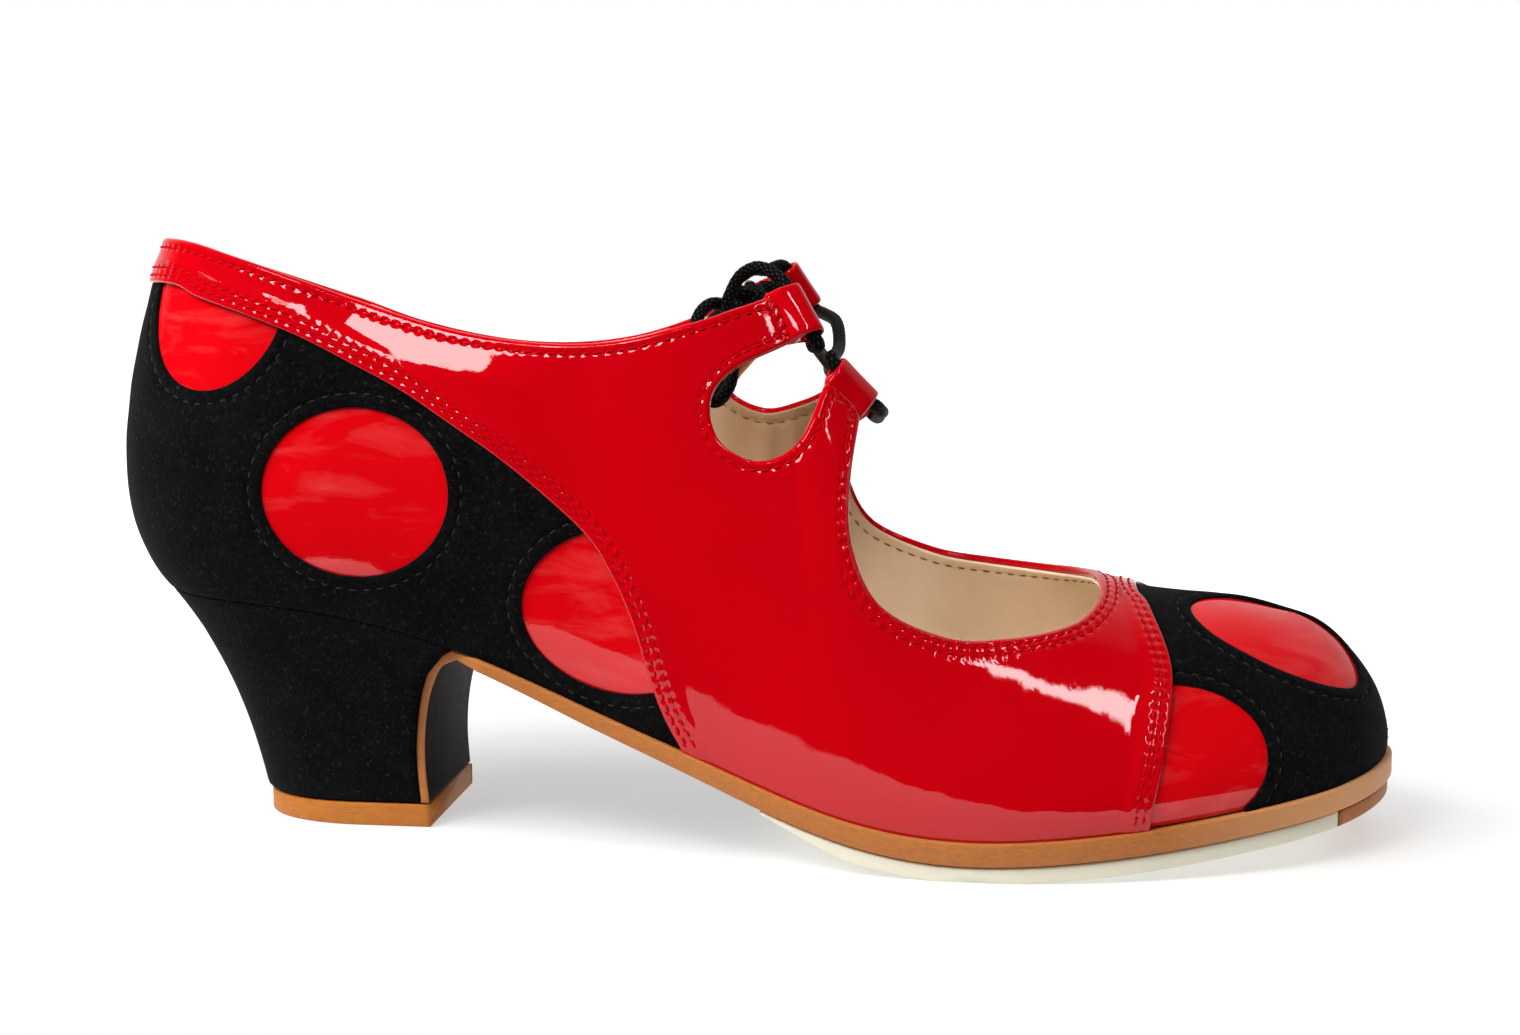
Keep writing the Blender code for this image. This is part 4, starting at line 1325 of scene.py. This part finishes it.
# The band under the collar leans in where a foot's ankle has bent it: slope, reach below the edge,
# softness of the bend, and from where to where along the shoe it comes and goes
COLLAR_LEAN = 0.27
LEAN_REACH = 8.0
LEAN_SOFTNESS = 1.0
LEAN_COMES = (38.0, 52.0)
LEAN_GOES = (68.0, 92.0)


def collar_lean(place, to_edge):
    """How far the band under the collar leans into the shoe."""
    along = ease(*LEAN_COMES, place[:, 0]) * (1 - ease(*LEAN_GOES, place[:, 0]))
    left = LEAN_REACH - to_edge
    return COLLAR_LEAN * along * (left + np.hypot(left, LEAN_SOFTNESS)) / 2


# The strap in front of the vamp's opening is drawn down, with the suede under it, and the outer upper tab
# lies flatter than the last. Place, reach and depth of the one; place, reach and slope of the other
STRAP_DIP = ((188.0, 13.0, 48.5), 14.0, 1.9)
TAB_TILT = ((125.0, -14.0, 97.0), 9.0, 0.1)


def strap_dip(place):
    """How far the strap in front of the opening lies under the last's skin."""
    middle, reach, depth = STRAP_DIP
    return depth * bell(np.linalg.norm(place - np.array(middle), axis=1), reach)


def tab_tilt(place):
    """How far the outer upper tab stands off at its top and draws in at its foot."""
    middle, reach, slope = TAB_TILT
    return slope * (place[:, 2] - middle[2]) * bell(np.linalg.norm(place - np.array(middle), axis=1), reach)


def bend(place, to_edge):
    """How far the leather stands off the last where wear has bent it."""
    return tab_tilt(place) - collar_lean(place, to_edge) - strap_dip(place)


@functools.lru_cache
def red_sheet():
    """The red panel between the opening's edge, the two suede seams and the sole."""
    sheet = skin().copy().cut("red")
    sheet["to_edge"] = sheet.distance_to(sheet.edges_where("leather"))
    sheet["to_seam"] = sheet.distance_to(sheet.edges_where("red"))
    sheet["edge_run"] = sheet.along(sheet.edges_where("leather"))
    sheet["seam_run"] = sheet.along(sheet.edges_where("red"))
    sheet.cut("to_edge", size("edge_radius")).cut("to_seam", size("seam_radius"))
    for row in (*VAMP_ROWS, OPENING_ROW):
        sheet.split_trough("to_edge", row)
    for row in SEAM_ROWS:
        sheet.split_trough("to_seam", row)
    place = sheet["place"]
    vamp = on_vamp(place)
    rows = [sheet["to_edge"] - row + FAR * ~vamp for row in VAMP_ROWS]
    rows.append(sheet["to_edge"] - OPENING_ROW + FAR * vamp)
    rows += [sheet["to_seam"] - row for row in SEAM_ROWS]
    across_tab = bell(axis_distance(place) - CROSS_SEAM, CROSS_SEAM_WIDTH)
    troughs = sum(bell(row, TROUGH_WIDTH) for row in rows) + across_tab
    sheet["pucker"] = np.minimum(sum(bell(row, PUCKER_WIDTH) for row in rows), 1.0)
    over = RED_OVER_SUEDE * (1 - ease(UNDERLAP, SEAM_RISE_REACH, sheet["to_seam"]))
    ripple = sum(waviness(place, *row) for row in RED_RIPPLES)
    bent = bend(place, sheet["to_edge"])
    sheet["height"] = RED_HEIGHT + over - TROUGH_DEPTH * troughs + ripple + bent
    return sheet


def make_red_panel():
    sheet = red_sheet()
    radius = np.full(len(sheet["place"]), SOLE_BORDER_RADIUS)
    for name, folded in (("to_edge", size("edge_radius")), ("to_seam", size("seam_radius"))):
        radius[np.abs(sheet[name] - folded) < ON_LINE] = folded
    points, faces = rolled_sheet(sheet, radius, RED_TAIL)
    run = np.where(sheet["to_seam"] < sheet["to_edge"], sheet["seam_run"], sheet["edge_run"])
    sewn = np.stack([sheet["pucker"], run / size("red_pitch")], axis=1)
    rolled = np.zeros((len(points) - len(sewn), 2))
    uv = np.vstack([sewn, rolled])
    add_piece("red_panel", points, faces, [red_patent_leather()], ("upper",), uv=uv)
    place = sheet["place"]
    vamp = on_vamp(place)
    clear = axis_distance(place) > TAB_CLEAR
    lines = sheet.lines("to_edge", OPENING_ROW, ~vamp & clear)
    for row in VAMP_ROWS:
        lines += sheet.lines("to_edge", row, vamp)
    sewn_seam = (sheet["to_edge"] > SEAM_ROW_CLEAR) & (sheet["share"] > SEAM_ROW_FOOT)
    for row in SEAM_ROWS:
        lines += sheet.lines("to_seam", row, sewn_seam)
    add_stitches("red_stitches", lines, size("red_pitch"), RED_STITCH, red_waxed_thread())


# The suede puffs up round a cut-out and is drawn in along its stitches: height, distance and width of each
HOLE_PUFFS = ((0.16, 1.4, 0.9), (-0.24, HOLE_ROW, 0.5))
PUFF_LEVELS = (0.9, 1.5)
# Under the red panel the suede lies lower: how far from the seam on, and how deep
TUCK_REACH = 1.5
TUCK_DEPTH = 0.25
HOLE_ROW_CLEAR = 0.2


def suede_sheet():
    """The suede of the back and of the toe cap, with its round cut-outs, reaching under the red panel."""
    sheet = skin().copy().cut("suede", -UNDERLAP).cut("hole")
    sheet["to_hole"] = sheet.distance_to(sheet.edges_where("hole"))
    sheet.cut("to_hole", size("hole_radius"))
    for level in PUFF_LEVELS:
        sheet.split("to_hole", level)
    sheet.split_trough("to_hole", HOLE_ROW)
    place = sheet["place"]
    under = ease(0.0, -TUCK_REACH, sheet["suede"])
    puff = sum(height * bell(sheet["to_hole"] - away, width) for height, away, width in HOLE_PUFFS)
    puff += waviness(place, *SUEDE_RIPPLE)
    sheet["height"] = SUEDE_HEIGHT + puff * (1 - under) - TUCK_DEPTH * under - strap_dip(place)
    return sheet


def make_suede():
    sheet = suede_sheet()
    radius = np.full(len(sheet["place"]), SOLE_BORDER_RADIUS)
    radius[np.abs(sheet["to_hole"] - size("hole_radius")) < ON_LINE] = size("hole_radius")
    radius[np.abs(sheet["suede"] + UNDERLAP) < ON_LINE] = COVERED_RADIUS
    points, faces = rolled_sheet(sheet, radius, SUEDE_TAIL)
    add_piece("black_suede_upper", points, faces, [black_suede()], ("upper",))
    lines = sheet.lines("to_hole", HOLE_ROW, sheet["suede"] > HOLE_ROW_CLEAR)
    thread = waxed_thread("grey_waxed_thread", colours().suede_thread)
    add_stitches("suede_stitches", lines, size("suede_pitch"), SUEDE_STITCH, thread)


# The red leather under a cut-out: how far it reaches under the suede, and how it swells towards its middle
DOT_UNDERLAP = 2.2
DOT_DOME = 0.2
DOME_REACH = (-1.0, 9.0)


def make_dots():
    sheet = skin().copy()
    sheet["dot"] = -sheet["hole"]
    sheet.cut("dot", -DOT_UNDERLAP).cut("suede", -UNDERLAP)
    place = sheet["place"]
    sheet["height"] = DOT_HEIGHT + DOT_DOME * ease(*DOME_REACH, sheet["dot"]) + waviness(place, *DOT_RIPPLE)
    points, faces = rolled_sheet(sheet, np.full(len(place), COVERED_RADIUS), DOT_TAIL)
    add_piece("red_dots", points, faces, [patent_leather_painted_reflections()], ("upper",))


# How far inside the opening's edge the lining ends, and the radius of its border
LINING_EDGE = 1.0
LINING_RADIUS = 0.35
# Soft wrinkles of the lining. Each row: x, lowest z, highest z, width, depth
LINING_WRINKLES = (
    (121.0, 52.0, 76.0, 2.4, 0.5), (126.5, 48.0, 77.0, 2.0, 0.6), (132.0, 50.0, 75.0, 2.6, 0.45),
    (152.0, 20.0, 40.0, 3.5, 0.4), (64.0, 55.0, 84.0, 4.0, 0.35),
)
# Round its lowest and its highest point a wrinkle fades in and out over these heights
WRINKLE_START = (-6.0, 4.0)
WRINKLE_END = (-6.0, 2.0)


def make_lining():
    sheet = skin().copy()
    sheet["to_edge"] = sheet.distance_to(sheet.edges_where("leather"))
    sheet.cut("to_edge", LINING_EDGE)
    sheet.split_trough("to_edge", LINING_ROW)
    place = sheet["place"]
    wrinkles = np.zeros(len(place))
    for x, low, high, width, depth in LINING_WRINKLES:
        starts = ease(*WRINKLE_START, place[:, 2] - low)
        ends = ease(*WRINKLE_END, place[:, 2] - high)
        wrinkles += depth * bell(place[:, 0] - x, width) * starts * (1 - ends)
    trough = LINING_TROUGH_DEPTH * bell(sheet["to_edge"] - LINING_ROW, TROUGH_WIDTH)
    bent = bend(place, sheet["to_edge"])
    sheet["height"] = LINING_HEIGHT + trough - wrinkles + bent + waviness(place, *LINING_RIPPLE)
    points, faces = rolled_sheet(sheet, np.full(len(place), LINING_RADIUS), LINING_TAIL, inside_out=True)
    look = beige_lining_leather()
    add_piece("beige_lining", points, faces, [look], ("upper",))
    lines = [(places, -normals) for places, normals in sheet.lines("to_edge", LINING_ROW)]
    thread = waxed_thread("brown_waxed_thread", colours().lining_thread)
    add_stitches("lining_stitches", lines, LINING_PITCH, LINING_STITCH, thread)
    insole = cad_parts["insole"]
    insole.data.materials.clear()
    insole.data.materials.append(look)


# A folded tab end: its radii, how far its tail reaches back, and the pitch of the seam across the tab
LOOP_OUTSIDE = 2.3
LOOP_INSIDE = 1.5
LOOP_TAIL = 5.7
CROSS_PITCH = 1.9
# Behind the lace the fold narrows to a neck: how far back, and its half thickness as a share of the loop's
NECK_BACK = 3.2
NECK_SHARE = 0.8
# How deep under the red panel's top the two ends of the fold lie
TAIL_DEPTHS = (0.5, 1.9)
# The panel within this reach of a loop is its tab. Its ends, and the ends of the seam across it, as shares
TAB_REACH = 9.0
TAIL_SHARES = (0.1, 0.9)
CROSS_SHARES = (0.04, 0.96)
# Round the fold from the tab's outside to its inside, in degrees. Past the one turn it is neck, past the
# other it is tail
FOLD_TURNS = (168, 128, 84, 50, 18, -18, -50, -84, -128, -168)
NECK_TURN = 120
TAIL_TURN = 160
FOLD_STEPS = 4
# Along the loop: share of its length, and share of its wall that stands there
FOLD_STATIONS = (
    (0.02, 0.0), (-0.02, 0.3), (-0.035, 0.6), (-0.02, 0.86), (0.02, 0.97), (0.08, 1.0), (0.2, 0.98),
    (0.35, 0.95), (0.5, 0.94), (0.65, 0.95), (0.8, 0.98), (0.92, 1.0), (0.98, 0.97), (1.02, 0.86),
    (1.035, 0.6), (1.02, 0.3), (0.98, 0.0),
)


def fold_section(centre, back, up, tail_outer, tail_inner):
    """The outline of a folded tab end and the hole in it, round one point of the lace."""
    outer = []
    for degrees in FOLD_TURNS:
        turn = math.radians(degrees)
        if abs(degrees) > TAIL_TURN:
            outer.append(tail_outer if degrees > 0 else tail_inner)
        elif abs(degrees) > NECK_TURN:
            outer.append(centre + back * NECK_BACK + up * math.copysign(LOOP_OUTSIDE * NECK_SHARE, degrees))
        else:
            outer.append(centre + LOOP_OUTSIDE * (up * math.sin(turn) - back * math.cos(turn)))
    outer = smooth_curve(outer, FOLD_STEPS)
    turns = np.radians(smooth_curve([(turn,) for turn in FOLD_TURNS], FOLD_STEPS))
    hole = centre + LOOP_INSIDE * (np.sin(turns) * up - np.cos(turns) * back)
    return outer, hole


def make_lace_loops():
    sheet = red_sheet()
    raised = sheet.raised()
    seams = []
    for name, back_end, front_end in LOOP_ROWS:
        start = np.array(back_end)
        run = np.array(front_end) - start
        axis = unit(run)
        middle = start + run / 2
        near = np.linalg.norm(raised - middle, axis=1) < TAB_REACH
        inwards = raised[near].mean(axis=0) - middle
        back = unit(inwards - axis * (inwards @ axis))
        up = np.cross(axis, back)
        up = up * np.sign(up @ sheet["normal"][near].mean(axis=0))
        rings = []
        for share, wall in FOLD_STATIONS:
            centre = start + run * share
            goal = start + run * np.clip(share, *TAIL_SHARES) + back * LOOP_TAIL
            i = np.linalg.norm(raised - goal, axis=1).argmin()
            tail = raised[i] + axis * ((centre - raised[i]) @ axis)
            tails = [tail - sheet["normal"][i] * depth for depth in TAIL_DEPTHS]
            outer, hole = fold_section(centre, back, up, *tails)
            rings.append(hole + (outer - hole) * wall)
        points, faces = loft(rings, close_ends=False)
        count = len(rings[0])
        last = (len(rings) - 1) * count
        faces += [(last + j, last + (j + 1) % count, (j + 1) % count, j) for j in range(count)]
        tab = name.replace("lace_loop", "folded_tab")
        piece = add_piece(tab, points, faces, [red_patent_leather()], (name,))
        turned_outwards(piece)
        ends = []
        for share in CROSS_SHARES:
            goal = start + run * share + back * CROSS_SEAM + up
            i = np.linalg.norm(raised - goal, axis=1).argmin()
            ends.append((raised[i], sheet["normal"][i]))
        seams.append(tuple(np.stack(pair) for pair in zip(*ends)))
    add_stitches("tab_stitches", seams, CROSS_PITCH, TAB_STITCH, red_waxed_thread())


# Sole and heel

SOLE_STEP = 0.05
EDGE_ROUND_STEPS = 4
# Radius of the layers' edges, and the share of a thin layer that it may take up
SOLE_ROUND = 0.5
TREAD_ROUND = 0.4
BREAST_ROUND = 0.35
ROUND_LIMIT = 0.45
BREAST_STEPS = 8
# Width of the leather's fibres
SOLE_FIBRE = 1.6
LIFT_FIBRE = 2.4


def sole_thickness(name, station):
    columns = dict(zip(SOLE_COLUMNS, np.array(SOLE_ROWS).T))
    return np.interp(station, columns["station"], columns[name])


def rounded_layer(outer, outer_in, inner, inner_in, down, radius):
    """A section of a layer with rounded edges, down its outer side and up its inner side."""
    thickness = np.linalg.norm(down)
    radius = min(radius, ROUND_LIMIT * thickness)
    below = down / thickness
    turns = np.linspace(0, math.pi / 2, EDGE_ROUND_STEPS)
    points = []
    for edge, inwards in ((outer, outer_in), (inner, inner_in)):
        side = [edge + radius * (inwards * (1 - math.sin(t)) + below * (1 - math.cos(t))) for t in turns]
        foot = edge + down
        side += [foot + radius * (inwards * (1 - math.cos(t)) - below * (1 - math.sin(t))) for t in turns]
        points += side if edge is outer else side[::-1]
    return np.array(points)


def layer_section(station, margin, above, thickness, radius):
    """A section across the sole: a layer whose top lies so far above the feather line."""
    ends = []
    for side in (-1, 1):
        out = LAST.outward(side, station)
        ends += [LAST.foot(side, station) + out * margin + np.array([0, 0, above]), -out]
    return rounded_layer(*ends, np.array([0, 0, -thickness]), radius)


def breast_sections():
    """The strip down the breast, each section square to the strip."""
    path = smooth_curve(BREAST_ROWS, BREAST_STEPS)
    sections = []
    for i, (x, z, leather, half_width) in enumerate(path):
        ahead = path[min(i + 1, len(path) - 1)]
        behind = path[max(i - 1, 0)]
        along = unit(np.array([ahead[0] - behind[0], ahead[1] - behind[1]]))
        out = np.array([-along[1], 0.0, along[0]]) * leather
        across = np.array([0.0, 1.0, 0.0])
        outer = np.array([x, -half_width, z])
        inner = np.array([x, half_width, z])
        sections.append(rounded_layer(outer, across, inner, -across, out, BREAST_ROUND))
    return sections


def layer_stations(first, last):
    return np.linspace(first, last, round(abs(last - first) / SOLE_STEP) + 1)


def make_outsole():
    """The leather sole with its strip down the breast, painted dark underneath from the waist on."""
    leather = trimmed_sole_leather("scuffed_sole_leather_painted_light", colours().sole_edge, SOLE_FIBRE, SCUFF_AND_LIGHT_COLOUR)
    sections = []
    painted = []
    for station in layer_stations(LAST.end, OUTSOLE_START):
        thickness = sole_thickness("leather", station)
        sections.append(layer_section(station, SOLE_MARGIN, -GAP, thickness, SOLE_ROUND))
        painted.append(station < PAINTED_WAIST_END)
    strip = breast_sections()
    sections += strip
    painted += [True] * len(strip)
    points, faces = loft(sections)
    under = 2 * EDGE_ROUND_STEPS - 1
    which = []
    for dark in painted[:-1]:
        which += [int(dark and j == under) for j in range(len(sections[0]))]
    which += [0, 0]
    looks = [leather, painted_sole_leather()]
    turned_outwards(add_piece("leather_outsole", points, faces, looks, ("outsole",), which))


def make_tread_layer(node, stations, look):
    """A piece of the layer that is glued under the leather sole, flat where it meets the floor."""
    sections = []
    for station in layer_stations(*stations):
        above = -2 * GAP - sole_thickness("leather", station)
        tread = sole_thickness("tread", station)
        section = layer_section(station, SOLE_MARGIN - TREAD_INSET, above, tread, TREAD_ROUND)
        section[:, 2] = np.maximum(section[:, 2], 0.0)
        sections.append(section)
    points, faces = loft(sections)
    turned_outwards(add_piece("glued_" + node, points, faces, [look], (node,)))


def make_sole():
    tan = trimmed_sole_leather("trimmed_sole_leather", colours().sole_edge, SOLE_FIBRE)
    make_outsole()
    make_tread_layer("half_sole", HALF_SOLE_STATIONS, cream_sheet_rubber())
    make_tread_layer("toe_piece", TOE_PIECE_STATIONS, tan)


# The heel cover's ribs and levels, with more levels close to its edges, and the radii of the edges
HEEL_RIBS = 48
HEEL_LEVELS = 40
EDGE_LEVELS = (0.003, 0.008, 0.014, 0.986, 0.992, 0.997)
HEEL_EDGE = 0.8
LIFT_EDGE = 0.4
LIFT_HEIGHTS = (0.0, 0.08, 0.2, 0.4, 2.2, 4.0, 4.2, 4.32, HEEL_LIFT)


def heel_outline(share):
    """Half width of the heel's D shape, from its round back (0) to its flat breast (1)."""
    if share >= HEEL_ROUND_SHARE:
        return 1.0
    return (1 - (1 - share / HEEL_ROUND_SHARE) ** HEEL_ROUND_POWER) ** (1 / HEEL_ROUND_POWER)


def heel_shares():
    """Places of the ribs from back to breast, closer together round the back."""
    return 1 - np.cos(np.linspace(0, math.pi / 2, HEEL_RIBS))


def breast_front(height):
    """How far forward the heel block reaches at a height, just behind the strip of the sole."""
    path = smooth_curve(BREAST_ROWS, BREAST_STEPS)
    return np.interp(height, path[::-1, 1], path[::-1, 0]) - GAP


def seat_at(side, x):
    """The feather line's point over the heel at a place along the shoe."""
    stations = np.linspace(0, SEAT_STATION, SEAT_SAMPLES)
    reach = LAST.value(side, "foot_x", stations)
    return LAST.foot(side, np.interp(x, reach, stations))


def edge_inset(height, low, high, radius):
    """How far a wall draws in at its lower and upper edge to round them off."""
    near = min(height - low, high - height, radius)
    return radius - math.sqrt(max(radius * radius - (radius - near) ** 2, 0))


def heel_section(share, levels):
    """One rib of the heel cover, down its outer side and up its inner side."""
    foot_z = HEEL_LIFT + GAP
    seat_back = LAST.value(-1, "foot_x", 0)
    seat_x = seat_back + (BREAST_ROWS[0][0] - seat_back) * share
    section = []
    for side, order in ((-1, levels[::-1]), (1, levels)):
        seat = seat_at(side, seat_x)
        for level in order:
            flare = HEEL_STRAIGHT_SHARE * level + (1 - HEEL_STRAIGHT_SHARE) * level ** HEEL_FLARE_POWER
            top = seat[2] - GAP
            z = foot_z + level * (top - foot_z)
            back = HEEL_FOOT_BACK + (seat_back - HEEL_FOOT_BACK) * flare
            x = back + (breast_front(z) - back) * share
            foot_y = side * HEEL_HALF_WIDTH * heel_outline(share)
            y = foot_y + (seat[1] - foot_y) * flare
            inset = edge_inset(z, foot_z, top, HEEL_EDGE)
            section.append((x + inset * (1 - share), y - side * min(inset, abs(y)), z))
    return np.array(section)


def lift_section(share):
    """One rib of the lift, down its outer side and up its inner side."""
    back = HEEL_FOOT_BACK + LIFT_INSET
    front = BREAST_ROWS[-1][0] + BREAST_ROWS[-1][2] + LIFT_REACH
    section = []
    for side, order in ((-1, LIFT_HEIGHTS[::-1]), (1, LIFT_HEIGHTS)):
        for z in order:
            inset = edge_inset(z, 0.0, HEEL_LIFT, LIFT_EDGE)
            y = max(HEEL_HALF_WIDTH * heel_outline(share) - inset, 0.0)
            section.append((back + (front - back) * share + inset * (1 - 2 * share), side * y, z))
    return np.array(section)


def make_heel():
    levels = np.sort(np.concatenate([np.linspace(0, 1, HEEL_LEVELS), EDGE_LEVELS]))
    points, faces = loft([heel_section(share, levels) for share in heel_shares()])
    cover = add_piece("suede_heel_cover", points, faces, [black_suede()], ("heel_block",))
    turned_outwards(cover)
    points, faces = loft([lift_section(share) for share in heel_shares()])
    look = trimmed_sole_leather("waxed_lift_leather", colours().lift, LIFT_FIBRE)
    lift = add_piece("heel_lift", points, faces, [look], ("heel_top_piece",))
    turned_outwards(lift)


# Operators, panel and main

class SHOE_OT_stage(bpy.types.Operator):
    """Sets the camera, the white floor, the studio's walls and its four lamps"""

    bl_idname = "shoe.stage"
    bl_label = "Set the stage"

    def execute(self, context):
        set_camera()
        set_world()
        set_floor()
        set_lamps()
        context.scene.view_settings.view_transform = "Standard"
        return {"FINISHED"}


class SHOE_OT_lace(bpy.types.Operator):
    """Braids the lace, its knot, the bow's loops and the loose ends with their metal tips"""

    bl_idname = "shoe.lace"
    bl_label = "Tie the lace"

    def execute(self, context):
        make_lace()
        return {"FINISHED"}


class SHOE_OT_red_panel(bpy.types.Operator):
    """Closes the red patent panel over the last, with folded edges and rows of stitches"""

    bl_idname = "shoe.red_panel"
    bl_label = "Close the red panel"

    def execute(self, context):
        make_red_panel()
        return {"FINISHED"}


class SHOE_OT_suede(bpy.types.Operator):
    """Closes the suede back and toe cap with their round cut-outs and stitches"""

    bl_idname = "shoe.suede"
    bl_label = "Close the suede"

    def execute(self, context):
        make_suede()
        return {"FINISHED"}


class SHOE_OT_dots(bpy.types.Operator):
    """Lays red patent leather under the round cut-outs"""

    bl_idname = "shoe.dots"
    bl_label = "Inlay the dots"

    def execute(self, context):
        make_dots()
        return {"FINISHED"}


class SHOE_OT_lining(bpy.types.Operator):
    """Lines the upper in beige leather and finishes the insole"""

    bl_idname = "shoe.lining"
    bl_label = "Line the upper"

    def execute(self, context):
        make_lining()
        return {"FINISHED"}


class SHOE_OT_lace_loops(bpy.types.Operator):
    """Folds the ends of the four tabs round the lace"""

    bl_idname = "shoe.lace_loops"
    bl_label = "Fold the tabs"

    def execute(self, context):
        make_lace_loops()
        return {"FINISHED"}


class SHOE_OT_sole(bpy.types.Operator):
    """Lays the leather sole with its breast strip, the rubber half sole and the toe piece"""

    bl_idname = "shoe.sole"
    bl_label = "Lay the sole"

    def execute(self, context):
        make_sole()
        return {"FINISHED"}


class SHOE_OT_heel(bpy.types.Operator):
    """Covers the heel in suede and sets the lift under it"""

    bl_idname = "shoe.heel"
    bl_label = "Cover the heel"

    def execute(self, context):
        make_heel()
        return {"FINISHED"}


OPERATORS = (
    SHOE_OT_stage, SHOE_OT_lace, SHOE_OT_red_panel, SHOE_OT_suede, SHOE_OT_dots, SHOE_OT_lining,
    SHOE_OT_lace_loops, SHOE_OT_sole, SHOE_OT_heel,
)


class SHOE_PT_pieces(bpy.types.Panel):
    """Lists the shoe's colours, sizes and pieces"""

    bl_idname = "SHOE_PT_pieces"
    bl_label = "Flamenco shoe"
    bl_space_type = "VIEW_3D"
    bl_region_type = "UI"
    bl_category = "Shoe"

    def draw(self, context):
        for group in (context.scene.shoe_colours, context.scene.shoe_sizes):
            column = self.layout.column()
            for name in group.__annotations__:
                column.prop(group, name)
        for operator in OPERATORS:
            self.layout.operator(operator.bl_idname)


CLASSES = (ShoeColours, ShoeSizes, *OPERATORS, SHOE_PT_pieces)


def register():
    for item in CLASSES:
        bpy.utils.register_class(item)
    bpy.types.Scene.shoe_colours = bpy.props.PointerProperty(type=ShoeColours)
    bpy.types.Scene.shoe_sizes = bpy.props.PointerProperty(type=ShoeSizes)


def unregister():
    del bpy.types.Scene.shoe_sizes
    del bpy.types.Scene.shoe_colours
    for item in reversed(CLASSES):
        bpy.utils.unregister_class(item)


def main():
    register()
    for operator in OPERATORS:
        group, name = operator.bl_idname.split(".")
        getattr(getattr(bpy.ops, group), name)()


if __name__ == "__main__":
    main()
